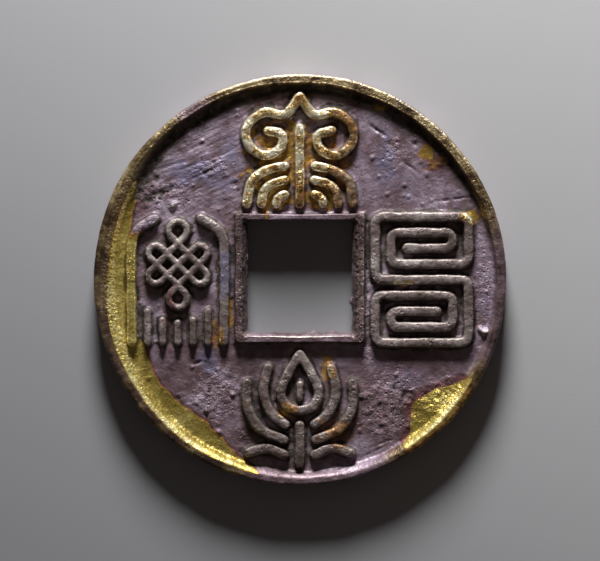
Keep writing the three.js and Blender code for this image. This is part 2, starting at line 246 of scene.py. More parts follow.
ROUGH_SPOTS = (
    (-14.8, 9.2, 2.6, 1.3, 1.0),
    (-9.6, 12.2, 1.8, 0.9, 0.8),
    (-9.2, -12.6, 2.2, 2.4, 0.9),
    (9.6, -13.4, 2.8, 3.2, 1.0),
    (10.2, 14.0, 1.6, 1.6, 0.6),
    (7.6, -3.0, 0.9, 5.0, 1.0),
    (-3.4, -17.5, 3.0, 1.4, 0.7),
    (20.0, -1.5, 1.2, 4.5, 0.5),
    (15.4, -13.0, 2.6, 2.2, 0.8),
)


def spots(points, table):
    """The strongest of some ragged oval spots, at each point."""
    amount = np.zeros(len(points))
    ragged = 0.5 * tone.fractal(points * (1, 1, 0) + 3, 1.1, 4)
    for x, y, across, up, strength in table:
        away = np.hypot((points[:, 0] - x) / across, (points[:, 1] - y) / up) + ragged
        amount = np.maximum(amount, strength * fade(away, 0.4, 1.6))
    return amount


def distance(points, x=0.0, y=0.0):
    """How far each point lies from a place in the plane, or from the coin's middle."""
    return np.hypot(points[:, 0] - x, points[:, 1] - y)


def polar(points):
    return np.degrees(np.arctan2(points[:, 1], points[:, 0])) % 360, distance(points)


def by_angle(points, table):
    """A value from a table of (degrees, value), read off at each point's angle round the coin."""
    return np.interp(polar(points)[0], *zip(*table))


def past_face_edge(points):
    """How far out of the rim face's inner edge each point lies, negative inside it."""
    return distance(points) - rim_face_edge(np.radians(polar(points)[0]))


def crescent_depth(points):
    """How far inside a gilded crescent's ragged edge each point lies, negative outside."""
    inner_edge = np.minimum(by_angle(points, LEFT_CRESCENT), by_angle(points, RIGHT_CRESCENT))
    return distance(points) - inner_edge + 0.14 * tone.fractal(points * (1, 1, 0), 1.3, 4)


# Meshes


def add_object(name, data):
    made = bpy.data.objects.new(name, data)
    bpy.context.scene.collection.objects.link(made)
    return made


def make_piece(node, points, faces, marks, material):
    """A mesh in the place of a CAD node. marks are named values per point, for the material."""
    name = f"cast_{node}"
    mesh = bpy.data.meshes.new(name)
    mesh.from_pydata((points * MM).tolist(), [], faces)
    for mark, values in marks.items():
        layer = mesh.attributes.new(mark, "FLOAT", "POINT")
        layer.data.foreach_set("value", np.asarray(values, np.float32))
    mesh.shade_smooth()
    mesh.materials.append(material)
    piece = add_object(name, mesh)
    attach(piece, "root")
    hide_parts(node)


class Shell:
    """A closed surface while it is made: rings of points with their marks, and faces."""

    def __init__(self):
        self.points = []
        self.marks = {"dirt": [], "wear": [], "slope": []}
        self.rings = []
        self.faces = []

    def add(self, points, dirt, wear=0.0, slope=0.0):
        """Adds points with their marks and returns their numbers."""
        first = self.rings[-1][-1] + 1 if self.rings else 0
        self.rings.append(np.arange(first, first + len(points)))
        self.points.append(points)
        for mark, value in (("dirt", dirt), ("wear", wear), ("slope", slope)):
            self.marks[mark].append(np.broadcast_to(value, len(points)))
        return self.rings[-1]

    def band(self, rings):
        """Adds faces between each ring of numbers and the next, facing out where the rings go up."""
        for low, high in zip(rings, rings[1:]):
            self.faces += np.stack([low, np.roll(low, -1), np.roll(high, -1), high], 1).tolist()

    def closed(self, downwards=False):
        """The finished surface, once every ring is joined to the next and the last to the first."""
        rings = [*self.rings, self.rings[0]]
        self.band(rings[::-1] if downwards else rings)
        return self.finished()

    def finished(self):
        marks = {mark: np.concatenate(values) for mark, values in self.marks.items()}
        return np.concatenate(self.points), self.faces, marks


def sides(loop):
    """Each member of a closed loop with the one after it."""
    return zip(loop, loop[1:] + loop[:1])


def edge_loops(faces):
    """The closed loops of directed edges that border a set of faces, as lists of point numbers."""
    directed = {side for face in faces for side in sides(face)}
    following = {}
    for a, b in directed:
        if (b, a) not in directed:
            following.setdefault(a, []).append(b)
    loops = []
    while following:
        loop = [next(iter(following))]
        while len(loop) == 1 or loop[-1] != loop[0]:
            choices = following[loop[-1]]
            loop.append(choices.pop())
            if not choices:
                del following[loop[-2]]
        loops.append(loop[:-1])
    return loops


def grid(x_values, y_values):
    x, y = np.meshgrid(x_values, y_values, indexing="ij")
    return np.stack([x.ravel(), y.ravel(), np.zeros(x.size)], 1)


def cell_corners(values):
    """The values at the four corners of each cell of a grid, counter-clockwise."""
    return np.stack([values[:-1, :-1], values[1:, :-1], values[1:, 1:], values[:-1, 1:]], -1)


def kept_faces(keep):
    """The kept cells of a grid as faces, numbered by the points that they use, and which those are."""
    shape = np.add(keep.shape, 1)
    faces = cell_corners(np.arange(shape.prod()).reshape(shape))[keep]
    used = np.zeros(shape.prod(), bool)
    used[faces] = True
    return (np.cumsum(used) - 1)[faces], used


def in_box(points, low, high):
    """Which points lie between two corners, seen from above."""
    return ((points[:, :2] > low) & (points[:, :2] < high)).all(1)


# Outlines that strokes stand on

SAME_HEIGHT = 0.002


def foot_outline(node, height):
    """The edges, as pairs of points in the plane, of a CAD node's flat face at this height."""
    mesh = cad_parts[node].data
    places, numbers = np.unique(np.round(node_points(node), 4), axis=0, return_inverse=True)
    numbers = numbers.ravel()
    level = np.abs(places[:, 2] - height) < SAME_HEIGHT
    mesh.calc_loop_triangles()
    count = {}
    for triangle in mesh.loop_triangles:
        corners = numbers[list(triangle.vertices)].tolist()
        if level[corners].all():
            for side in sides(corners):
                key = (min(side), max(side))
                count[key] = count.get(key, 0) + 1
    border = [key for key, times in count.items() if times == 1]
    return places[np.array(border)][:, :, :2]


def depth_inside(points, edges):
    """How far each point lies inside an outline, negative outside it."""
    x, y = points[:, 0], points[:, 1]
    nearest = np.full(len(points), np.inf)
    inside = np.zeros(len(points), bool)
    for (ax, ay), (bx, by) in edges:
        run, rise = bx - ax, by - ay
        along = np.clip(((x - ax) * run + (y - ay) * rise) / (run * run + rise * rise), 0, 1)
        nearest = np.minimum(nearest, (x - ax - along * run) ** 2 + (y - ay - along * rise) ** 2)
        if ay != by:
            crossing = (ay > y) != (by > y)
            inside ^= crossing & (x < ax + (y - ay) / rise * run)
    return np.where(inside, 1, -1) * np.sqrt(nearest)


outlines = {node: foot_outline(node, FIELD_TOP) for node in RELIEF_NODES}

FOOT_REACH = 1.2  # how far from a stroke its foot still marks the field


def distance_to_relief(points):
    """The distance from each point in the plane to the nearest stroke's foot, up to FOOT_REACH."""
    nearest = np.full(len(points), FOOT_REACH)
    for edges in outlines.values():
        near = in_box(points, edges.min((0, 1)) - FOOT_REACH, edges.max((0, 1)) + FOOT_REACH)
        nearest[near] = np.minimum(nearest[near], -depth_inside(points[near], edges))
    return nearest


def distance_to_frame(points):
    """The distance in the plane from the foot of the frame round the hole, negative inside it."""
    centre = (FRAME_FOOT[0] + FRAME_FOOT[1])[:2] / 2
    half = (FRAME_FOOT[1] - FRAME_FOOT[0])[:2] / 2
    past = np.abs(points[:, :2] - centre) - half
    return np.hypot(*np.maximum(past, 0).T) + np.minimum(past.max(1), 0)


COVER_STEP = 0.2
COVER_REACH = 1.0  # how far off the strokes still crowd a place


def relief_cover():
    """A grid over the coin of how much of the ground near each place is under strokes."""
    values = np.arange(-COIN_RADIUS, COIN_RADIUS + COVER_STEP, COVER_STEP)
    covered = distance_to_relief(grid(values, values)).reshape(len(values), -1) < 0
    steps = round(3 * COVER_REACH / COVER_STEP)
    offsets = np.arange(-steps, steps + 1) * COVER_STEP
    weights = np.exp(-0.5 * (offsets / COVER_REACH) ** 2)
    for axis in (0, 1):
        covered = np.apply_along_axis(np.convolve, axis, covered, weights / weights.sum(), "same")
    return covered


cover = relief_cover()


def crowding(points):
    """How crowded by strokes each place is, from 0 in the open to 1 deep inside a relief."""
    at = np.clip((points[:, :2] + COIN_RADIUS) / COVER_STEP, 0, len(cover) - 1.001)  # inside the last cell
    x, y = at.astype(int).T
    u, v = (at % 1).T
    west = cover[x, y] * (1 - v) + cover[x, y + 1] * v
    east = cover[x + 1, y] * (1 - v) + cover[x + 1, y + 1] * v
    return ramp(west * (1 - u) + east * u, 0.2, 0.42)


# The outer rim's outline, worn differently on its four sides

RING_POINTS = 960

ring_angles = np.linspace(0, 2 * np.pi, RING_POINTS, endpoint=False)
upper_rim = ramp(np.sin(ring_angles + 0.2), 0.55, 0.97)  # 1 along the rim's upper part, 0 elsewhere


def on_circle(angle, radius, height):
    height = np.broadcast_to(height, angle.shape)
    return np.stack([radius * np.cos(angle), radius * np.sin(angle), height], 1)


def ring(radius, height):
    """Points all round the coin, at ring_angles."""
    return on_circle(ring_angles, radius, height)


def on_four_sides(right, top, left, bottom):
    """A value for each of ring_angles that goes smoothly from one named side to the next."""
    across, up, _ = ring(1, 0).T
    return (right, top, left, bottom) @ np.maximum([across, up, -across, -up], 0) ** 2


def rim_face_edge(angle):
    """The radius at which the obverse rim's face ends and its inner slope begins."""
    at = on_circle(angle, COIN_RADIUS, 0)
    wander = 0.07 * outline_wear.fractal(at, 5.0) + 0.03 * outline_wear.fractal(at, 0.9)
    return by_angle(at, RIM_FACE_EDGE) + wander


def rim_foot(angle):
    """The radius at which the obverse rim's inner slope meets the field."""
    at = on_circle(angle, COIN_RADIUS, 5)
    wander = 0.1 * outline_wear.fractal(at, 4.0) + 0.04 * outline_wear.fractal(at, 0.8)
    return by_angle(at, RIM_FOOT) + wander


def edge_radius(height):
    """The radius of the coin's outer edge at ring_angles, with its file marks and dents."""
    at = ring(COIN_RADIUS, height)
    worn = on_four_sides(right=0.02, top=0.1, left=0.1, bottom=0.1)
    worn += 0.08 * outline_wear.fractal(at, 7.0) + 0.03 * casting_grain.fractal(at, 0.9)
    return COIN_RADIUS - np.clip(worn, 0, 0.4)


# The obverse field's surface


ROUGH_SEED = 21
PIT_COUNT = 90
BUMP_COUNT = 220
UNDER_SLOPE = 0.02  # how far under the rim's inner slope the field's surface follows it
SLOPE_COVER = 0.5  # up to this height over the field's plane
SLOPE_BLEND = 0.3
SCATTER_RADIUS = 21.0  # of the places where the small pits, bumps and lumps are scattered
# Gouges in the field as (x, y, x, y, half width, depth)
GOUGES = (
    (7.6, 16.9, 9.4, 15.6, 0.16, 0.22),
    (11.1, 13.0, 12.9, 11.6, 0.14, 0.14),
    (14.6, 8.5, 18.9, 9.1, 0.11, 0.14),
    (-13.6, 10.2, -16.9, 8.8, 0.35, 0.14),
    (-11.8, 10.9, -9.0, 12.4, 0.14, 0.12),
    (-16.8, 11.2, -15.9, 12.3, 0.3, 0.12),
    (-14.5, 12.6, -7.6, 15.6, 0.1, 0.07),
    (-13.4, 11.8, -6.9, 14.2, 0.12, 0.08),
    (-12.4, 13.8, -9.3, 15.6, 0.09, 0.07),
    (-15.6, 12.0, -12.2, 13.0, 0.12, 0.08),
    (6.7, -19.3, 9.6, -18.0, 0.1, 0.1),
    (7.2, -18.5, 10.4, -17.2, 0.1, 0.08),
    (-11.6, -9.2, -10.7, -8.9, 0.16, 0.16),
)
# Lumps on the field as (x, y, radius, height)
LUMPS = (
    (20.2, -5.7, 0.5, 0.75),
    (19.6, -5.4, 0.4, 0.35),
    (-13.8, 8.15, 0.6, 0.45),
    (-10.16, -14.3, 0.36, 0.3),
    (-7.33, -12.5, 0.36, 0.24),
)
# Blisters as (x, y, radius)
BLISTERS = (
    (7.9, 13.3, 0.32), (9.9, 13.1, 0.26), (8.6, 11.3, 0.3), (11.4, 10.3, 0.3), (11.3, 9.15, 0.26),
    (11.8, 9.05, 0.26), (9.6, 9.3, 0.32), (15.3, 12.5, 0.24), (15.7, 13.2, 0.24), (13.2, 12.9, 0.26),
    (14.3, 13.1, 0.22), (10.5, 14.6, 0.28), (12.7, 15.7, 0.26), (13.4, 8.3, 0.2), (17.3, 9.6, 0.2),
    (-11.2, -13.4, 0.3), (-9.2, -13.5, 0.3), (-7.8, -13.1, 0.28), (-13.2, -12.6, 0.22), (-10.5, -13.0, 0.2),
    (-12.4, -11.2, 0.24), (-9.9, -11.2, 0.26), (-8.8, -9.7, 0.22), (10.5, -10.4, 0.34), (8.6, -11.6, 0.26),
    (6.7, -12.7, 0.32), (12.2, -12.0, 0.26), (9.0, -15.6, 0.28), (11.6, -16.0, 0.24), (7.7, -14.3, 0.26),
    (-16.6, 13.3, 0.22), (-12.2, 9.3, 0.24), (-15.5, 8.5, 0.26), (-8.2, 8.9, 0.2),
)
# Pits as (x, y, radius)
PITS = (
    (9.7, 14.9, 0.3), (12.5, 14.8, 0.4), (-15.6, 11.0, 0.5), (-9.4, 12.8, 0.4), (-10.2, 11.6, 0.4),
    (-7.1, 10.4, 0.45), (-16.2, 8.6, 0.42), (-14.9, 9.4, 0.36), (-13.2, 9.9, 0.3), (-10.16, -14.7, 0.34),
    (11.4, -12.6, 0.55), (12.0, -12.3, 0.35), (10.3, -11.9, 0.3), (8.7, -13.6, 0.4), (9.3, -15.0, 0.42),
    (8.8, -16.2, 0.36), (10.2, -14.2, 0.3), (6.7, -13.1, 0.3), (-13.2, -12.9, 0.3), (-9.9, -12.1, 0.34),
)


def scattered(random, count, smallest, largest):
    """Places all over the field, with a size each."""
    radius = SCATTER_RADIUS * np.sqrt(random.random(count))
    angle = 2 * np.pi * random.random(count)
    size = smallest + (largest - smallest) * random.random(count) ** 2
    return np.stack([radius * np.cos(angle), radius * np.sin(angle), size], 1)


def gouge_depth(points):
    depth = np.zeros(len(points))
    for ax, ay, bx, by, half_width, deep in GOUGES:
        run, rise = bx - ax, by - ay
        along = ((points[:, 0] - ax) * run + (points[:, 1] - ay) * rise) / (run ** 2 + rise ** 2)
        along = np.clip(along, 0, 1)
        gap = np.hypot(points[:, 0] - ax - along * run, points[:, 1] - ay - along * rise)
        gap += 0.08 * casting_grain.fractal(points, 0.5)
        taper = 0.4 + 0.6 * np.sin(np.pi * along)
        depth = np.maximum(depth, deep * taper * fade(gap / half_width, 0.2, 1.3))
    return depth


def round_marks(points, places, depth_share):
    """Dents (or, with a negative share, bumps) at some places, each as deep as a share of its size."""
    depth = np.zeros(len(points))
    for x, y, size in places:
        near = in_box(points, (x - 1.5 * size, y - 1.5 * size), (x + 1.5 * size, y + 1.5 * size))
        gap = distance(points[near], x, y) / size
        depth[near] += depth_share * size * fade(gap, 0.1, 1.2)
    return depth


def streaked(points, degrees, length, width):
    """Noise drawn out along one direction."""
    turn = math.radians(degrees)
    along = points[:, 0] * math.cos(turn) + points[:, 1] * math.sin(turn)
    across = points[:, 1] * math.cos(turn) - points[:, 0] * math.sin(turn)
    drawn = np.stack([along / length, across / width, points[:, 2]], 1)
    return streaks.fractal(drawn, 1.0, 2)


def field_texture(points):
    """The obverse field's unevenness: ridges above left, soft streaks above right, lumps below."""
    x, y, _ = points.T
    grain = casting_grain.fractal
    height = 0.05 * undulation.fractal(points, 5.0) + 0.008 * grain(points, 1.0, 2)
    ridges = 0.022 * streaked(points + 9, 31, 3.4, 0.45) - 0.05 * np.abs(streaked(points, 27, 3.8, 0.62))
    height += ridges * ramp(y - x, 6, 14)
    height += 0.006 * streaked(points, 12, 3.0, 0.5) * ramp(x + y, 10, 16)
    height += 0.04 * grain(points, 1.3, 2) * (0.6 + undulation.at(points, 5.0)) * ramp(-y, 4, 9)
    height -= 0.02 * np.abs(tone.fractal(points, 0.55, 2)) * ramp(undulation.at(points + 40, 6.0), 0, 0.6)
    return height + 0.07 * grain(points + 5, 0.6, 2) * spots(points, ROUGH_SPOTS)


def field_relief(points):
    """The obverse field's height over its plane, its dirt with painted shade and painted shadow, and its
    wear, at points in the plane.
    """
    random = np.random.default_rng(ROUGH_SEED)
    angle, radius = polar(points)
    face_edge = rim_face_edge(np.radians(angle))
    foot = rim_foot(np.radians(angle))
    to_rim = foot - radius
    to_foot = np.minimum(distance_to_relief(points), distance_to_frame(points))

    pits = np.concatenate([scattered(random, PIT_COUNT, 0.12, 0.36), PITS])
    bumps = np.concatenate([scattered(random, BUMP_COUNT, 0.16, 0.32), BLISTERS])
    ragged = points[:, :2] + 0.12 * np.stack([casting_grain.at(points + shift, 0.4) for shift in (2, 8)], 1)
    dents = round_marks(ragged, pits, 0.34) + gouge_depth(points)
    height = field_texture(points) - dents - round_marks(ragged, bumps, -0.45)
    worn = np.zeros(len(points))
    for x, y, lump_radius, tall in LUMPS:
        gap = distance(points, x, y) / lump_radius
        gap += 0.25 * casting_grain.fractal(points, 0.5)
        height += tall * fade(gap, 0.0, 1.15)
        worn = np.maximum(worn, 1.5 * tall * fade(gap, 0.4, 1.2))
    height += 0.2 * fade(to_foot, -0.1, 0.36) ** 2
    steepness = (RIM_FACE - FIELD_TOP) / (face_edge - foot)
    slope = np.minimum(-to_rim * steepness - UNDER_SLOPE, SLOPE_COVER)
    height = -lower_of(-height, -slope, SLOPE_BLEND)

    grime_and_shade = 0.3 * tone.fractal(points, 1.4)
    north = ramp(points[:, 1], 4, 12)
    ungilded = fade(crescent_depth(points), 0.2, 0.8)
    # Darker by the feet of the strokes and the frame, and in dents.
    dirt = 0.75 * fade(to_foot + grime_and_shade, -0.05, 0.5) + 2.2 * dents
    # Darker in a band along the rim's foot, wider and darker towards the top as a painted shadow of the
    # rim.
    dirt += (0.3 + 0.5 * north) * ungilded * fade(to_rim + grime_and_shade, -0.05, 0.5 + 0.4 * north)
    # Darker between crowded strokes and in rough hollows.
    dirt += 0.3 * crowding(points) + 0.5 * spots(points, ROUGH_SPOTS) * ramp(-height, 0.02, 0.1)
    # A broader painted shadow of the rim across the top of the field; less darkening on the gold spots.
    dirt += 0.6 * north * fade(to_rim + 2 * grime_and_shade, 0.6, 2.5) - 0.4 * spots(points, GOLD_SPOTS)
    return height, np.clip(dirt - worn, 0, 1), np.clip(worn, 0, 1)


REVERSE_SEED = 22
REVERSE_PITS = 110
REVERSE_LUMPS = 60


def reverse_relief(points):
    """The reverse field's height, measured up towards the obverse, its dirt and its wear."""
    random = np.random.default_rng(REVERSE_SEED)
    elsewhere = points + 60  # so that its noise isn't the obverse's
    to_foot = np.minimum(distance_to_frame(points), REVERSE_FOOT - distance(points))
    pits = round_marks(points, scattered(random, REVERSE_PITS, 0.25, 0.6), 0.3)
    lumps = round_marks(points, scattered(random, REVERSE_LUMPS, 0.3, 0.6), -0.25)
    height = 0.05 * undulation.fractal(elsewhere, 6.0) + 0.025 * casting_grain.fractal(elsewhere, 1.2)
    height += 0.02 * np.abs(streaked(elsewhere, -35, 4.0, 0.8)) + pits + lumps
    height -= 0.2 * fade(to_foot, -0.1, 0.5) ** 2
    dirt = 0.12 + 0.1 * tone.fractal(elsewhere, 4.0) + 1.8 * pits
    dirt += 0.7 * fade(to_foot + 0.3 * tone.fractal(elsewhere, 1.6), -0.05, 0.8)
    return height, np.clip(dirt, 0, 1), 0.0


GRID_STEP = 0.148
REVERSE_GRID_STEP = 0.34
HOLE_SIDE_POINTS = 100
HOLE_CORNER_POINTS = 10
HOLE_CORNER = 0.45
REVERSE_FOOT = 20.6
UNDER_RIM = 0.55  # how far in from the edge the gridded surface ends, hidden under the rim
UNDER_FRAME = 0.3  # the same past the hole's edge, hidden under the frame
SEAM = 0.01  # a last narrow step before a seam, so that both sides of the seam shade alike


def rectangle_ring(low, high, corner):
    """Points round a rectangle with round corners, counter-clockwise, and the way out at each."""
    centre = (low + high)[:2] / 2
    half = (high - low)[:2] / 2 - corner
    bends = [centre + half * way for way in ((1, -1), (1, 1), (-1, 1), (-1, -1))]
    shares = np.arange(1, HOLE_SIDE_POINTS)[:, None] / HOLE_SIDE_POINTS
    places = []
    outward = []
    for k, (bend, following) in enumerate(sides(bends)):
        angles = np.radians(90 * k - 90 + np.linspace(0, 90, HOLE_CORNER_POINTS + 1))
        ways = np.stack([np.cos(angles), np.sin(angles)], 1)
        places += [bend + corner * ways, bend + corner * ways[-1] + shares * (following - bend)]
        outward += [ways, np.broadcast_to(ways[-1], (len(shares), 2))]
    return np.concatenate(places), np.concatenate(outward)


FRAME_CORNER = 0.35

hole_ring, hole_outward = rectangle_ring(*HOLE, HOLE_CORNER)
frame_ring = rectangle_ring(*FRAME_FOOT, FRAME_CORNER)[0]

# How far the hole's walls lie outside the CAD hole, from the reverse face up to the obverse face.
DRAFT_HEIGHTS = (0.0, 0.8, 1.7, 2.4, 3.2)
SIDE_DRAFT = (0.1, -0.05, -0.12, 0.08, 0.34)
BOTTOM_DRAFT = (0.05, -0.02, -0.1, 0.02, 0.22)
TOP_DRAFT = (0.1, 0.05, 0.0, 0.0, 0.05)
# Flash left on the hole's walls, as (x, y, half length along the wall, how far it stands out)
FLASH = (
    (1.2, -5.9, 1.1, 0.3),
    (3.4, -5.9, 0.8, 0.26),
    (-2.6, -5.9, 0.5, 0.1),
    (5.9, -2.4, 0.6, 0.34),
    (5.9, -3.9, 0.5, -0.26),
    (-5.9, 2.4, 0.5, 0.12),
    (-5.9, -4.2, 0.4, 0.14),
)
FLASH_HEIGHT = 1.9
FLASH_SPREAD = 0.45  # how far above and below that height it fades away


def hole_wall(height):
    """The ring of the hole's wall at one height."""
    draft = (
        np.abs(hole_outward[:, 0]) * np.interp(height, DRAFT_HEIGHTS, SIDE_DRAFT)
        + np.maximum(-hole_outward[:, 1], 0) * np.interp(height, DRAFT_HEIGHTS, BOTTOM_DRAFT)
        + np.maximum(hole_outward[:, 1], 0) * np.interp(height, DRAFT_HEIGHTS, TOP_DRAFT)
    )
    at = np.column_stack([hole_ring, np.full(len(hole_ring), height)])
    draft += 0.05 * outline_wear.fractal(at, 2.2) + 0.035 * casting_grain.fractal(at, 0.6)
    level = math.exp(-(((height - FLASH_HEIGHT) / FLASH_SPREAD) ** 2))
    for x, y, half_length, reach in FLASH:
        gap = distance(hole_ring, x, y) / half_length
        draft -= reach * level * fade(gap, 0.3, 1.1) * (0.8 + 0.5 * casting_grain.at(at, 0.5))
    at[:, :2] += hole_outward * draft[:, None]
    return at


def full_turn(loop, points):
    """A loop's numbers and angles about the hole's centre, counter-clockwise from the least angle.

    The first member comes again at the end, a full turn on.
    """
    away = points[loop] - HOLE_CENTRE
    angles = np.arctan2(away[:, 1], away[:, 0])
    turned = np.unwrap(angles)
    if turned[-1] < turned[0]:
        loop, angles = loop[::-1], angles[::-1]
    start = int(np.argmin(angles))
    loop = np.roll(loop, -start).tolist()
    angles = np.maximum.accumulate(np.roll(angles, -start))
    return loop + loop[:1], [*angles, angles[0] + 2 * np.pi]


def zipped(outer_turn, inner_turn):
    """Triangles between two full turns round one centre."""
    outer, outer_angles = outer_turn
    inner, inner_angles = inner_turn
    faces = []
    i = j = 0
    while i + 1 < len(outer) or j + 1 < len(inner):
        if j + 1 == len(inner) or (i + 1 < len(outer) and outer_angles[i + 1] <= inner_angles[j + 1]):
            faces.append([inner[j], outer[i], outer[i + 1]])
            i += 1
        else:
            faces.append([inner[j], outer[i], inner[j + 1]])
            j += 1
    return faces


def field_face(step):
    """The points and faces of a flat gridded surface from under the frame to under the rim."""
    half = COIN_RADIUS - UNDER_RIM
    values = np.arange(-half, half + step, step)
    points = grid(values, values)
    in_hole = in_box(points, HOLE[0][:2] - UNDER_FRAME, HOLE[1][:2] + UNDER_FRAME)
    usable = (distance(points) < half) & ~in_hole
    faces, used = kept_faces(cell_corners(usable.reshape(len(values), -1)).all(-1))
    return points[used], faces


WALL_STEPS = 9


def wall_heights(low, high, steps=WALL_STEPS):
    """Heights from low to high with a last narrow step at each end."""
    between = np.linspace(low, high, steps + 1)[1:-1]
    return np.concatenate([[low, low + SEAM], between, [high - SEAM, high]])


def build_field():
    """The flan's plate: two gridded faces, the outer edge and the hole's wall, all joined."""
    shell = Shell()
    heights = wall_heights(FIELD_BOTTOM, FIELD_TOP)
    edge = [shell.add(ring(edge_radius(z), z), 0.25) for z in heights]
    wall = [shell.add(hole_wall(z), 0.55) for z in heights]
    shell.band(edge)
    shell.band(wall[::-1])
    for end, plane, step, relief in (
        (-1, FIELD_TOP, GRID_STEP, field_relief),
        (0, FIELD_BOTTOM, REVERSE_GRID_STEP, reverse_relief),
    ):
        points, faces = field_face(step)
        height, dirt, wear = relief(points)
        points[:, 2] = plane + height
        faces = shell.add(points, dirt, wear)[faces].tolist()
        points = np.concatenate(shell.points)
        loops = sorted(edge_loops(faces), key=lambda loop: distance(points[loop]).max())
        faces += zipped(full_turn(edge[end], points), full_turn(loops[-1], points))
        faces += zipped(full_turn(loops[0], points), full_turn(wall[end], points))
        shell.faces += faces if plane == FIELD_TOP else [face[::-1] for face in faces]
    return shell.finished()


# Rims and frames, as profiles carried round

CORNER_DROP = 0.36  # how far down the outer edge the rim's rounded corner reaches
SUNK = 0.15  # how deep a hidden foot stands in the field
PAST_FOOT = 0.12  # how far past its slope's foot the obverse rim goes on under the field
CREST_SOFTNESS = 0.3  # how rounded the rim's face turns into its inner slope, in the north
WORN_CREST = 0.25  # how much rounder it does so in the south
CORNER_STEPS = 8
FACE_STEPS = 36


def rim_wear(at):
    """How far the rim's face is worn down below the coin's full height."""
    worn = 0.05 + 0.05 * outline_wear.fractal(at + 30, 3.0) + 0.03 * casting_grain.fractal(at, 0.8)
    return np.clip(worn, 0, 0.2)


def rim_face_marks(radius, height, face_edge):
    """The dirt and painted shade, the wear and painted highlights, and the fresh gilding on one ring of the
    obverse rim's face and inner slope.
    """
    at = ring(radius, 0)
    past = radius - face_edge
    south = ramp(-np.sin(ring_angles + 0.2), 0.7, 0.95)
    painted_shade = ramp(np.sin(ring_angles), 0.3, 0.8)
    down = fade(height, FIELD_TOP + 0.1, FIELD_TOP + 0.95)
    on_slope = fade(past, -0.15, 0.1)
    crest = ramp(past, -0.3, -0.05) * fade(past, 0.0, 0.25)
    # The gilded crest's painted highlight, by angle.
    painted_gleam = by_angle(at, CREST_PAINTED_GLEAM) * ramp(past, -0.5, -0.15) * fade(past, 0.05, 0.4)
    ungilded = fade(crescent_depth(at), 0.2, 0.8)
    patches = upper_rim * ramp(tone.fractal(at + 45, 1.4), 0.15, 0.6)
    # Painted shade on the inner slope where it turns from the light; dirt low on the slope and in patches
    # on the upper face.
    dirt = 0.5 * down * ungilded + 0.6 * painted_shade * on_slope + 0.55 * patches
    # Painted highlights: along the crest in the south, which faces the light, and along the gilded crest.
    wear = np.maximum(0.25 * south * crest, painted_gleam)
    return dirt, wear, by_angle(at, FRESH_GILDING) * np.maximum(crest, on_slope)


def build_outer_rim():
    """The obverse rim, from its hidden foot up its edge, over its face and down its inner slope."""
    shell = Shell()
    corner = on_four_sides(right=0.4, top=0.34, left=0.6, bottom=0.36)
    shoulder = edge_radius(RIM_FACE - CORNER_DROP) - corner
    corner_low = RIM_FACE - rim_wear(ring(shoulder, 0)) - CORNER_DROP
    for share in wall_heights(0, 1, 7):
        height = FIELD_TOP + (corner_low - FIELD_TOP) * share
        shell.add(ring(edge_radius(height), height), 0.25)
    outer = edge_radius(corner_low)
    # A painted highlight along the outer corner, strongest along the rim's upper part, which faces the
    # light.
    painted_corner_highlight = 0.15 + 0.85 * upper_rim
    for k in range(1, CORNER_STEPS + 1):
        angle = math.pi / 2 * k / CORNER_STEPS
        radius = outer + (shoulder - outer) * (1 - math.cos(angle))
        height = corner_low + CORNER_DROP * math.sin(angle)
        shell.add(ring(radius, height), 0.1, painted_corner_highlight * math.sin(2 * angle))
    face_edge = rim_face_edge(ring_angles)
    foot = rim_foot(ring_angles)
    softness = CREST_SOFTNESS + WORN_CREST * ramp(-np.sin(ring_angles + 0.4), 0.2, 0.8)
    for k in range(1, FACE_STEPS + 1):
        radius = shoulder + (foot - PAST_FOOT - shoulder) * k / FACE_STEPS
        slope = FIELD_TOP + (radius - foot) / (face_edge - foot) * (RIM_FACE - FIELD_TOP)
        top = RIM_FACE - rim_wear(ring(radius, 0))
        height = np.maximum(lower_of(slope, top, softness), FIELD_TOP - SUNK)
        shell.add(ring(radius, height), *rim_face_marks(radius, height, face_edge))
    return shell.closed()


EDGE_ROUND = 0.3  # the reverse rim's outer corner
REVERSE_FACE_EDGE = 21.3
REVERSE_PAST_FOOT = 0.1
REVERSE_FACE_STEPS = 20


def build_reverse_rim():
    """The reverse rim, from its inner slope's foot over its face and up its edge."""
    shell = Shell()

    def add(radius, height):
        low = fade(height, 0.1, 0.6)
        shell.add(ring(radius, height), 0.5 - 0.4 * low, 0.3 * low)

    tall = FIELD_BOTTOM - REVERSE_RIM_FACE
    outer = edge_radius(REVERSE_RIM_FACE + EDGE_ROUND)
    shoulder = outer - EDGE_ROUND
    for k in range(REVERSE_FACE_STEPS, 0, -1):
        radius = shoulder + (REVERSE_FOOT - REVERSE_PAST_FOOT - shoulder) * k / REVERSE_FACE_STEPS
        slope = (radius - REVERSE_FOOT) / (REVERSE_FACE_EDGE - REVERSE_FOOT) * tall
        worn = np.clip(0.03 + 0.03 * outline_wear.fractal(ring(radius, 0) + 50, 3.0), 0, 0.1)
        face = lower_of(slope, tall - worn * min(1.0, k / 6), 0.15)  # hardly worn by the outer edge
        add(radius, FIELD_BOTTOM - np.maximum(face, -SUNK))
    for k in range(CORNER_STEPS, 0, -1):
        angle = math.pi / 2 * k / CORNER_STEPS
        height = REVERSE_RIM_FACE + EDGE_ROUND * (1 - math.sin(angle))
        add(outer - EDGE_ROUND * (1 - math.cos(angle)), height)
    for z in wall_heights(REVERSE_RIM_FACE + EDGE_ROUND, FIELD_BOTTOM, 4):
        add(edge_radius(z), z)
    return shell.closed()


FRAME_STEPS = 28
OUTSIDE_RUN = 0.2  # how far in from its foot the frame's outside reaches the top
INNER_DROP = 0.22  # how far below the top the frame's edge at the hole lies
INNER_RISE = 1.8  # how steeply it rises from there to the top
CRUMB_REACH = (0.25, 0.45)  # how far in from the hole the frame has crumbled, on its left and right
FRAME_WALL = (0.06, 0.2, 0.35, 0.5, 0.65, 0.8)  # its rings down the hole, as shares of its height


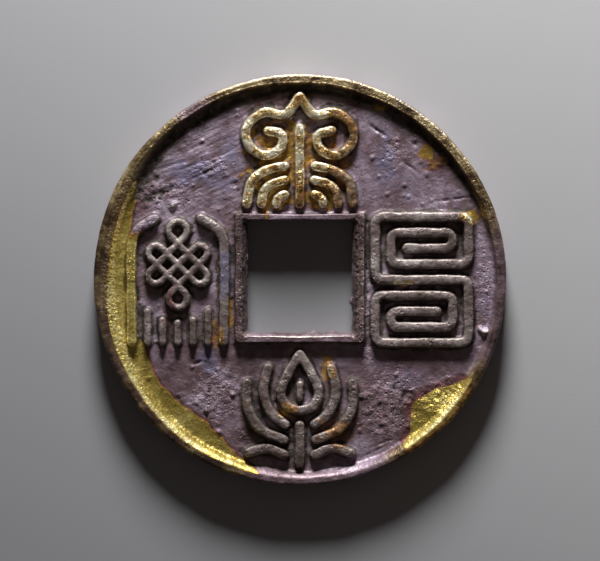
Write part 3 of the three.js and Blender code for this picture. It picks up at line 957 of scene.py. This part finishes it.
def build_frame(foot_z, face_z):
    """The raised frame round the hole on one face, up its outside, over its top and down the hole."""
    shell = Shell()
    obverse = face_z > foot_z
    up = 1 if obverse else -1
    tall = abs(face_z - foot_z)
    to_hole = hole_wall(face_z)[:, :2] - frame_ring
    width = np.linalg.norm(to_hole, axis=1)
    at_sides = np.abs(hole_outward[:, 0]) * obverse
    at_bottom = np.maximum(-hole_outward[:, 1], 0) * obverse
    crumb_reach = np.where(hole_outward[:, 0] > 0, CRUMB_REACH[1], CRUMB_REACH[0])
    for k, share in enumerate(np.linspace(-0.1, 1, FRAME_STEPS)):  # from past the foot to the hole
        at = np.column_stack([frame_ring + to_hole * share, np.zeros(len(frame_ring))])
        from_foot = share * width
        from_hole = (1 - share) * width
        outside = (from_foot + 0.05 * stroke_wobble.fractal(at + 20, 1.6)) / OUTSIDE_RUN
        crumbs = casting_grain.fractal(at + 33, 0.45, 2)
        crumbled = at_sides * fade((from_hole + 0.2 * crumbs) / crumb_reach, 0.8, 1.6)
        inside = tall - INNER_DROP + INNER_RISE * from_hole - crumbled * (0.12 + 0.14 * crumbs)
        inside -= at_bottom * (0.06 + 0.22 * from_hole)
        top = tall - 0.03 - 0.03 * outline_wear.fractal(at + 9, 2.0)
        top -= 0.02 * casting_grain.fractal(at, 0.6) + crumbled * (0.07 + 0.1 * crumbs)
        height = lower_of(tall * np.clip(outside, -0.3, 3), np.minimum(top, tall), 0.2)
        height = np.clip(lower_of(height, inside, 0.12), -SUNK, tall if k else -SUNK)
        at_edge = fade(np.minimum(from_foot - 0.1, from_hole - 0.05 * at_bottom), 0.08, 0.3)
        at[:, 2] = foot_z + up * height
        # Darker low down the frame's sides and on its crumbled places.
        dirt = np.maximum(0.85 * fade(height / tall, 0.15, 0.8), 0.62 * crumbled)
        # Wear along the frame's top edges, with a painted highlight along the hole's lower edge, which
        # faces the light.
        shell.add(at, dirt, (0.7 + 0.3 * at_bottom) * ramp(height / tall, 0.6, 0.9) * at_edge)
    lip = shell.points[-1][:, 2]
    lip_z = lip.min() if obverse else lip.max()
    for share in FRAME_WALL:
        shell.add(hole_wall(lip_z + (foot_z - lip_z) * share), 0.5 + 0.2 * share)
    shell.add(hole_wall(foot_z + up * SEAM), 0.55)
    shell.add(hole_wall(foot_z), 0.55)
    return shell.closed(downwards=not obverse)


# Relief strokes

STROKE_STEP = 0.056
STROKE_MARGIN = 0.26
WALL_RUN = 0.16  # from a stroke's foot in to its shoulder
BURIED = 0.2
SHOULDER = 0.26  # how softly a stroke's side turns into its top
CROWN = 0.16  # how much lower a stroke's shoulder is than its middle
CROWN_REACH = 0.56  # from the foot's edge in to the flat middle
CUT_OFF = 0.11  # how far past its foot a stroke's mesh goes on, buried in the field
THINNEST = 0.05  # how thick that buried edge is


def build_stroke(node):
    """A relief stroke: a soft flat top and steep sides over the node's own foot."""
    edges = outlines[node]
    low = edges.min((0, 1)) - STROKE_MARGIN
    high = edges.max((0, 1)) + STROKE_MARGIN
    x_values = np.arange(low[0], high[0], STROKE_STEP)
    points = grid(x_values, np.arange(low[1], high[1], STROKE_STEP))
    grain = casting_grain.fractal(points, 0.6, 2)
    depth = depth_inside(points, edges) + 0.06 * stroke_wobble.fractal(points, 1.5, 2) + 0.02 * grain
    tall = RELIEF_FACE - FIELD_TOP
    top = tall - 0.05 + 0.04 * undulation.fractal(points + 80, 2.6) + 0.014 * grain
    top -= CROWN * (1 - np.clip(depth / CROWN_REACH, 0, 1)) ** 2
    height = lower_of(tall * depth / WALL_RUN, np.minimum(top, tall), SHOULDER)
    reach = (depth > -CUT_OFF).reshape(len(x_values), -1)
    upper, used = kept_faces(cell_corners(reach).any(-1))
    height = np.clip(height, THINNEST - BURIED, tall)[used]
    count = len(height)
    tops = points[used]
    bottoms = tops + (0, 0, FIELD_TOP - BURIED)
    tops[:, 2] += FIELD_TOP + height
    lower = (upper[:, ::-1] + count).tolist()
    upper = upper.tolist()
    walls = [[b, a, a + count, b + count] for loop in edge_loops(upper) for a, b in sides(loop)]
    wear = 0.85 * ramp(height / tall, 0.65, 0.85) * fade(depth[used], 0.16, 0.36)
    shell = Shell()
    # Darker low on its walls, partly dirt and partly painted shade; worn on its shoulders.
    shell.add(tops, 0.9 * fade(height / tall, 0.05, 0.6), wear)
    shell.add(bottoms, 1.0)
    shell.faces = upper + lower + walls
    return shell.finished()


# What lies on the surface at each point


def gilding_at(node, points):
    """How much thick gilding is left, 0 to 1."""
    x, y, z = points.T
    gold = np.maximum(ramp(crescent_depth(points), -0.3, 0.3), spots(points, GOLD_SPOTS))
    if node == "outer_rim":
        past = past_face_edge(points) - by_angle(points, GILDING_REACH)
        on_face = ramp(past, -0.2, 0.15)
        gold = gold * (1 - on_face) + by_angle(points, RIM_GILDING) * on_face
    elif node == "field":
        gold = gold * fade(distance(points), COIN_RADIUS - 0.7, COIN_RADIUS - 0.5)
    elif node.startswith("cloud_"):
        gold = 0.7 - 0.22 * ramp(x, 1.5, 5.5) - 0.1 * fade(y, 8, 14) + 0.13 * tone.fractal(points + 15, 1.6)
    elif node == GILDED_RIBBON:
        gold = 0.3 + 0.7 * fade(y, 3.8, 5.6) + 0.1 * tone.fractal(points + 15, 1.6)
    elif node.startswith("lotus_"):
        gold = np.maximum(gold, 0.26 + 0.12 * tone.fractal(points + 15, 2.2))
    return np.clip(gold * ramp(z, FIELD_BOTTOM, FIELD_TOP), 0, 1)


STREAK_LENGTH = 2.6
STREAK_WIDTH = 0.32


def rim_streaks(points):
    """Noise drawn out along the rim, with no seam where it closes."""
    radius = distance(points)
    across = (radius + 0.7 * points[:, 2]) / STREAK_WIDTH
    round_the_coin = points[:, :2] / radius[:, None] * COIN_RADIUS / STREAK_LENGTH
    return tone.fractal(np.column_stack([round_the_coin, across]), 1.0, 3)


def on_rim_face(points):
    return ramp(past_face_edge(points), -0.3, 0.1)


def on_frame_sides(points):
    """1 at the hole's left and right, 0 in the middle above and below it."""
    return ramp(np.abs(points[:, 0]), 5, 6.5)


def film_at(node, points):
    """How much thin, dull gilding is left, 0 to 1."""
    if node in ("outer_rim", "field", "reverse_outer_rim"):
        outside = ramp(past_face_edge(points), -1.0, -0.3)
        film = by_angle(points, RIM_FILM) * (0.3 + 0.7 * ramp(points[:, 2], 1.0, 2.9))
        return outside * film * (1 + 0.3 * rim_streaks(points))
    if node == "hole_frame":
        return 0.2 + 0.2 * on_frame_sides(points)
    return np.full(len(points), 0.5 if node.startswith("cloud_") else 0.12)


def tone_at(node, points):
    """How much lighter than the mean the patina is."""
    level = np.interp(points[:, 1], *zip(*FIELD_TONE)) + 0.03 * tone.fractal(points, 6.0, 2)
    if "outer_rim" in node:
        face_level = by_angle(points, RIM_TONE) + 0.07 * rim_streaks(points)
        return level + (face_level - level) * on_rim_face(points)
    if "frame" in node:
        return level - 0.05 - 0.09 * on_frame_sides(points)
    if node == "field":
        return level + 0.14 * spots(points, LIGHT_SPOTS)
    return level


def stain_at(points):
    """How much red-brown stain lies beside the gilding and in spots, 0 to 1."""
    depth = crescent_depth(points)
    right = ramp(points[:, 0], 0, 5)
    beside = (0.9 + 0.3 * right) * ramp(depth, -0.5 - 1.3 * right, -0.1) * fade(depth, 0.1, 0.5)
    stain = np.maximum(beside, spots(points, STAIN_SPOTS))
    return np.clip(stain * ramp(points[:, 2], 1.2, 2), 0, 1.2)


def roughness_at(node, points):
    """How much more than the mean the surface is corroded."""
    rough = 0.1 + 0.9 * spots(points, ROUGH_SPOTS)
    if node in RELIEF_NODES:
        return rough + 0.45 * ramp(tone.fractal(points + 25, 1.8), -0.2, 0.6)
    if "outer_rim" in node:
        north = ramp(points[:, 1] + 0.3 * points[:, 0], 6, 16)
        return rough + (0.5 * north - rough) * on_rim_face(points)
    if node == "hole_frame":
        return rough + 0.5 * on_frame_sides(points)
    return rough


def surface_marks(node, points):
    x, y, z = points.T
    on_obverse = ramp(z, 1, 2)
    return {
        "gilding": gilding_at(node, points),
        "film": film_at(node, points),
        "tone": tone_at(node, points),
        "stain": stain_at(points),
        "bloom": spots(points, BLUE_SPOTS) * on_obverse,
        "rough": roughness_at(node, points) * on_obverse,
        "brushed": ramp(y - 0.4 * np.abs(x), 1, 6) * (1 - 0.7 * ramp(x, -2, 4)) * on_obverse,
    }


# Materials


class Value:
    """A value that a material works out at each place, with plain arithmetic."""

    def __init__(self, shader, socket):
        self.shader = shader
        self.socket = socket

    def __add__(self, other):
        return self.shader.math("ADD", self, other)

    def __mul__(self, other):
        return self.shader.math("MULTIPLY", self, other)

    __radd__ = __add__
    __rmul__ = __mul__

    def around(self, amount):
        """A noise value, centred on nought and scaled."""
        return self.shader.math("MULTIPLY_ADD", self, amount, -0.5 * amount)

    def step(self, low, high, start=0.0, end=1.0):
        """A smooth step from start, where this is low, to end, where it is high."""
        inputs = dict(enumerate((self, low, high, start, end)))
        return self.shader.node("MapRange", 0, inputs, interpolation_type="SMOOTHSTEP")


class Shader:
    """A node material on the Principled surface."""

    def __init__(self, name):
        self.material = bpy.data.materials.new(name)
        self.material.use_nodes = True
        self.tree = self.material.node_tree
        self.place = self.node("TexCoord", "Object")

    def feed(self, socket, value):
        """Sets a socket to a number, a vector or a colour, or links a value to it."""
        if isinstance(value, Value):
            self.tree.links.new(value.socket, socket)
        else:
            socket.default_value = (*value, 1) if socket.type == "RGBA" else value

    def node(self, kind, output, inputs=None, **settings):
        """Adds a node, sets its inputs by name or number, and returns one of its outputs."""
        made = self.tree.nodes.new(f"ShaderNode{kind}")
        for name, value in settings.items():
            setattr(made, name, value)
        for key, value in (inputs or {}).items():
            self.feed(made.inputs[key], value)
        return Value(self, made.outputs[output])

    def finished(self, inputs):
        """The material, once its surface has these inputs."""
        for name, value in inputs.items():
            self.feed(self.tree.nodes["Principled BSDF"].inputs[name], value)
        return self.material

    def math(self, operation, *values):
        return self.node("Math", 0, dict(enumerate(values)), operation=operation)

    def noise(self, size_mm, detail=4.0, roughness=0.55, distortion=0.0, place=None):
        return self.node("TexNoise", "Fac", {
            "Vector": place or self.place,
            "Scale": 1 / (size_mm * MM),
            "Detail": detail,
            "Roughness": roughness,
            "Distortion": distortion,
        })

    def streaks(self, degrees, width_mm, drawn_out):
        """Noise drawn out along one direction in the coin's plane, so many times its width."""
        turn = {"Vector": self.place, "Rotation": (0, 0, math.radians(degrees)), "Scale": (drawn_out, 1, 1)}
        turned = self.node("Mapping", "Vector", turn, vector_type="TEXTURE")
        return self.noise(width_mm, 4.0, 0.6, 0.3, turned)

    def pits(self, spacing_mm, radius_mm):
        """1 in the middle of scattered round pits, 0 outside them."""
        cells = {"Vector": self.place, "Scale": 1 / (spacing_mm * MM)}
        return self.node("TexVoronoi", "Distance", cells).step(0.0, radius_mm / spacing_mm, 1.0, 0.0)

    def ramp(self, value, stops):
        """A colour read off at a value from (position, colour) stops."""
        colour = self.node("ValToRGB", "Color", {"Fac": value})
        elements = colour.socket.node.color_ramp.elements
        elements[0].position = stops[0][0]
        elements[1].position = stops[-1][0]
        for position, _ in stops[1:-1]:
            elements.new(position)
        for element, (_, tint) in zip(elements, stops):
            element.color = (*tint, 1)
        return colour

    def mix(self, factor, first, second):
        """The second colour over the first. The Mix node's colours are its inputs 6 and 7."""
        return self.node("Mix", 2, {0: factor, 6: first, 7: second}, data_type="RGBA")

    def mix_number(self, factor, first, second):
        return self.node("Mix", 0, {0: factor, 2: first, 3: second}, data_type="FLOAT")

    def bump(self, height, strength, distance_mm):
        relief = {"Height": height, "Strength": strength, "Distance": distance_mm * MM}
        return self.node("Bump", "Normal", relief)


# Patina colours, from the brown of thin places to the lilac of the thickest bloom
PATINA = (
    (0.18, (0.038, 0.021, 0.017)),
    (0.33, (0.120, 0.075, 0.086)),
    (0.46, (0.190, 0.126, 0.144)),
    (0.56, (0.255, 0.185, 0.235)),
    (0.70, (0.390, 0.312, 0.378)),
)
STROKE_PATINA = (
    (0.22, (0.046, 0.031, 0.025)),
    (0.36, (0.122, 0.090, 0.078)),
    (0.47, (0.182, 0.138, 0.130)),
    (0.58, (0.248, 0.198, 0.190)),
    (0.72, (0.390, 0.345, 0.325)),
)
# Gilding in hollows, on grains and on polished places: yellow on the field, cream on the strokes
GOLD = (
    (0.26, (0.100, 0.058, 0.012)),
    (0.38, (0.260, 0.182, 0.037)),
    (0.50, (0.470, 0.352, 0.078)),
    (0.63, (0.750, 0.600, 0.185)),
    (0.80, (0.980, 0.860, 0.420)),
)
PALE_GOLD = (
    (0.30, (0.120, 0.052, 0.012)),
    (0.40, (0.340, 0.165, 0.042)),
    (0.48, (0.640, 0.430, 0.165)),
    (0.55, (0.900, 0.760, 0.450)),
    (0.65, (1.000, 0.975, 0.830)),
)
FILM = (
    (0.30, (0.040, 0.023, 0.010)),
    (0.40, (0.105, 0.065, 0.028)),
    (0.50, (0.240, 0.168, 0.075)),
    (0.60, (0.410, 0.315, 0.160)),
    (0.72, (0.600, 0.500, 0.310)),
)
RUST = (
    (0.35, (0.070, 0.030, 0.015)),
    (0.65, (0.420, 0.200, 0.058)),
)
TARNISH = (0.250, 0.150, 0.036)
OCHRE = (0.620, 0.350, 0.080)
STAIN = (
    (0.36, (0.040, 0.014, 0.016)),
    (0.64, (0.185, 0.064, 0.066)),
)
BLUE_BLOOM = (0.175, 0.160, 0.262)
# The colour of dirt, and of painted shade in recesses and on shaded sides
DIRT_AND_SHADE = (
    (0.38, (0.012, 0.008, 0.006)),
    (0.50, (0.034, 0.024, 0.018)),
    (0.62, (0.095, 0.072, 0.060)),
)
# Bare worn metal, also laid on lit edges as a painted highlight
WORN_METAL_AND_HIGHLIGHT = (0.430, 0.385, 0.345)
MARKS = ("dirt", "wear", "slope", "gilding", "film", "tone", "stain", "bloom", "rough", "brushed")


def bronze_values(s):
    """The marks on the mesh and the noises that the layers of the bronze share."""
    v = SimpleNamespace(**{mark: s.node("Attribute", "Fac", attribute_name=mark) for mark in MARKS})
    v.broad = s.noise(3.6, 4.0, 0.5)
    v.middle = s.noise(0.9, 3.0, 0.5)
    v.fine = s.noise(0.2, 3.0, 0.6)
    v.glint = s.noise(0.3, 2.0, 0.6)
    v.patchy = s.noise(0.75, 6.0, 0.66)
    v.drawn = s.streaks(24, 0.5, 6)
    v.pits = s.pits(0.62, 0.2)
    v.grain = (s.noise(2.4, 3.0, 0.55).step(0.46, 0.62, 0.2, 0.9) + v.rough) * v.fine.around(1.0)
    v.fresh = s.math("MAXIMUM", v.slope, 0.0)
    v.left = v.gilding + v.patchy.around(0.6) + -0.1 * v.dirt
    return v


def patina_colour(s, v, tones):
    """The patina, blue under its bloom and red-brown in its stains."""
    drawn_tone = v.brushed * v.drawn.around(0.5)
    uneven = (0.24 + 0.3 * v.rough) * v.middle.around(1.0)
    colour = s.ramp(0.12 + 0.76 * v.broad + v.tone + uneven + 0.4 * v.grain + drawn_tone, tones)
    blue = v.bloom + v.middle.around(0.8) + v.broad.around(1.3) + 2.4 * drawn_tone
    colour = s.mix(blue.step(0.25, 1.15, 0.0, 0.7), colour, BLUE_BLOOM)
    stained = (v.stain + v.middle.around(0.8) + 0.3 * v.grain).step(0.25, 0.9, 0.0, 0.85)
    return s.mix(stained, colour, s.ramp(v.middle, STAIN))


def film_colour(s, v):
    """The thin, dull gilding."""
    shade = 0.18 + 0.64 * v.broad + 1.1 * v.tone + v.middle.around(0.2) + 0.5 * v.grain + 0.15 * v.wear
    return s.ramp(shade, FILM)


def gold_colour(s, v, tones, ochre):
    """The thick gilding, tarnished in patches. ochre is how much its thin places turn to ochre."""
    # Grain in the gold's colour, with glints painted into it on the fresh slopes.
    grain_and_painted_glints = (0.4 + 0.5 * v.rough) * v.fine.around(1.0) + v.fresh * v.glint.around(1.3)
    shade = 0.16 + 0.7 * v.broad + v.patchy.around(0.35) + v.gilding.around(0.1) + grain_and_painted_glints
    # Wear brightens the gold, both polish and the painted highlight on the rim's crest.
    shade += 0.12 * v.slope + 0.2 * v.wear + v.left.step(0.45, 0.75, -0.14, 0.0)
    tarnished = (s.noise(1.5, 5.0, 0.62) + -0.1 * v.fresh).step(0.5, 0.72, 0.0, 0.6)
    thin = (v.gilding + v.middle.around(0.2)).step(0.65, 0.95, ochre, 0.0)
    return s.mix(thin, s.mix(tarnished, s.ramp(shade, tones), TARNISH), OCHRE)


def bronze_relief(s, v):
    """The fine relief of grain, corrosion and brush marks, and of the fresh gilding's glitter."""
    corroded = s.noise(0.42, 5.0, 0.7, 0.4) + -0.6 * v.pits
    relief = 0.5 * s.noise(0.6, 3.0, 0.5, 0.4) + 0.26 * v.grain + 1.3 * v.rough * corroded
    return s.bump(relief + 0.5 * v.brushed * v.drawn + 0.8 * v.fresh * v.glint, 1.0, 0.18)


def cast_bronze(name, patina_tones, gilding_tones, ochre):
    """Bronze with a lustrous patina, dirt and painted shade in its recesses and shaded places, worn edges
    and painted highlights on lit ones, and what is left of its gilding.
    """
    s = Shader(name)
    v = bronze_values(s)
    filmed = (v.film + v.middle.around(0.2) + v.broad.around(0.4)).step(0.15, 0.85, 0.0, 0.95)
    # Bare worn metal, which is also the painted highlight on lit edges
    bare_and_highlit = (v.wear + 0.4 * v.grain + v.middle.around(0.8)).step(0.45, 1.0, 0.0, 0.75)
    pitted = v.pits * (0.3 + 0.5 * v.rough)
    # Dirt, and painted shade in recesses and on shaded sides
    soiled_and_shaded = (v.dirt + v.middle.around(0.5) + 0.4 * v.grain + pitted).step(0.25, 0.95)
    rusty = v.left.step(0.3, 0.48, 0.0, 0.85)
    gold = v.left.step(0.46, 0.6)
    # The darkest dirt and painted shade, laid again over the gilding
    deep = (v.dirt + 0.4 * v.grain).step(0.62, 1.15, 0.0, 0.85)
    grime_and_shade = s.ramp(v.middle + v.fine.around(0.5), DIRT_AND_SHADE)
    colour = patina_colour(s, v, patina_tones)
    for amount, layer in (
        (filmed, film_colour(s, v)),
        (bare_and_highlit, WORN_METAL_AND_HIGHLIGHT),
        (soiled_and_shaded, grime_and_shade),
        (rusty, s.ramp(v.middle + 0.3 * v.grain, RUST)),
        (gold, gold_colour(s, v, gilding_tones, ochre)),
        (deep, grime_and_shade),
    ):
        colour = s.mix(amount, colour, layer)
    metal = (1.0 + -0.6 * soiled_and_shaded) * (0.3 + 0.4 * bare_and_highlit + 0.4 * filmed)
    gloss = 0.44 + v.middle.around(0.3) + 0.25 * v.grain + 0.25 * soiled_and_shaded
    return s.finished({
        "Base Color": colour,
        "Metallic": s.mix_number(gold, metal, 0.7),
        "Roughness": s.mix_number(gold, gloss, 0.36 + v.fine.around(0.2)),
        "Specular IOR Level": 0.5,
        "Normal": bronze_relief(s, v),
    })


aged_bronze = cast_bronze("aged_bronze", PATINA, GOLD, 0.6)
stroke_bronze = cast_bronze("stroke_bronze", STROKE_PATINA, PALE_GOLD, 0.0)

# Pieces

shapes = {
    "field": build_field(),
    "outer_rim": build_outer_rim(),
    "reverse_outer_rim": build_reverse_rim(),
    "hole_frame": build_frame(FIELD_TOP, FRAME_FACE),
    "reverse_hole_frame": build_frame(FIELD_BOTTOM, REVERSE_FRAME_FACE),
    **{node: build_stroke(node) for node in RELIEF_NODES},
}
for node, (points, faces, marks) in shapes.items():
    marks.update(surface_marks(node, points))
    material = stroke_bronze if node in RELIEF_NODES and node != GILDED_RIBBON else aged_bronze
    make_piece(node, points, faces, marks, material)

# Ground, light and camera

PICTURE_WIDTH = 600  # pixels
PIXEL = 0.1087  # millimetres across one pixel of the picture, on the coin's face
CAMERA_HEIGHT = 600.0
SENSOR_WIDTH = 36.0
PICTURE_CENTRE = (0.02, -0.08)
GROUND_SIZE = 1.5  # metres
# The floor's colour runs from darker at the lower left to lighter at the upper right, a painted fall-off of
# the light.
GROUND_PAINTED_SHADE = (0.262, 0.266, 0.284)
GROUND_PAINTED_LIGHT = (0.518, 0.513, 0.523)
GROUND_SPAN = 168.0  # millimetres from the painted shade to the painted light
GROUND_LEAN = 0.98  # how much the painted light changes up the picture, for each change across it
UNDER_COIN = 14.0  # millimetres from the coin's middle within which the floor's colour is darkened, a painted shadow of the coin
UNDER_COIN_PAINTED_SHADOW = 0.4

LAMP_ELEVATION = 20.8
LAMP_DISTANCE = 320.0
LAMP_OFFSET = -6.0  # to the right
LAMP_WIDTH = 104.0
LAMP_HEIGHT = 92.0
LAMP_POWER = 2.2  # watts
SKY = 0.052
SKY_COLOUR = (1.0, 0.87, 0.77)


def make_ground():
    half = GROUND_SIZE / 2
    mesh = bpy.data.meshes.new("ground")
    corners = [(-half, -half, 0), (half, -half, 0), (half, half, 0), (-half, half, 0)]
    mesh.from_pydata(corners, [], [(0, 1, 2, 3)])
    s = Shader("ground_paper")
    x, y = (s.node("SeparateXYZ", axis, {0: s.place}) for axis in "XY")
    half_span = GROUND_SPAN * MM / 2
    # A painted fall-off of light across the floor.
    share = (x + GROUND_LEAN * y).step(-half_span, half_span) + s.noise(40.0, 2.0).around(0.1)
    from_middle = s.node("VectorMath", "Value", {0: s.place}, operation="LENGTH")
    # A painted shadow of the coin, darkening the floor round its middle.
    shade = from_middle.step(0.0, UNDER_COIN * MM, UNDER_COIN_PAINTED_SHADOW, 0.0)
    mesh.materials.append(s.finished({
        "Base Color": s.mix(shade, s.mix(share, GROUND_PAINTED_SHADE, GROUND_PAINTED_LIGHT), (0.0, 0.0, 0.0)),
        "Roughness": 0.85,
        "Specular IOR Level": 0.2,
        "Normal": s.bump(s.noise(0.35, 3.0), 0.15, 0.03),
    }))
    ground = add_object("ground", mesh)


def make_lamp():
    light = bpy.data.lights.new("window", "AREA")
    light.shape = "ELLIPSE"
    light.size = LAMP_WIDTH * MM
    light.size_y = LAMP_HEIGHT * MM
    light.energy = LAMP_POWER
    lamp = add_object("window", light)
    elevation = math.radians(LAMP_ELEVATION)
    lamp.location = (
        LAMP_OFFSET * MM,
        LAMP_DISTANCE * math.cos(elevation) * MM,
        LAMP_DISTANCE * math.sin(elevation) * MM,
    )
    lamp.rotation_euler = lamp.location.to_track_quat("Z", "Y").to_euler()


def make_sky():
    world = bpy.data.worlds.new("room")
    world.use_nodes = True
    bpy.context.scene.world = world
    background = world.node_tree.nodes["Background"]
    background.inputs["Color"].default_value = (*SKY_COLOUR, 1)
    background.inputs["Strength"].default_value = SKY


def make_camera():
    data = bpy.data.cameras.new("camera")
    data.sensor_width = SENSOR_WIDTH
    data.lens = SENSOR_WIDTH * (CAMERA_HEIGHT - RIM_FACE) / (PICTURE_WIDTH * PIXEL)
    data.clip_start = 0.01
    data.clip_end = 10
    camera = add_object("camera", data)
    camera.location = (PICTURE_CENTRE[0] * MM, PICTURE_CENTRE[1] * MM, CAMERA_HEIGHT * MM)
    bpy.context.scene.camera = camera


make_ground()
make_lamp()
make_sky()
make_camera()
bpy.context.scene.view_settings.view_transform = "Standard"
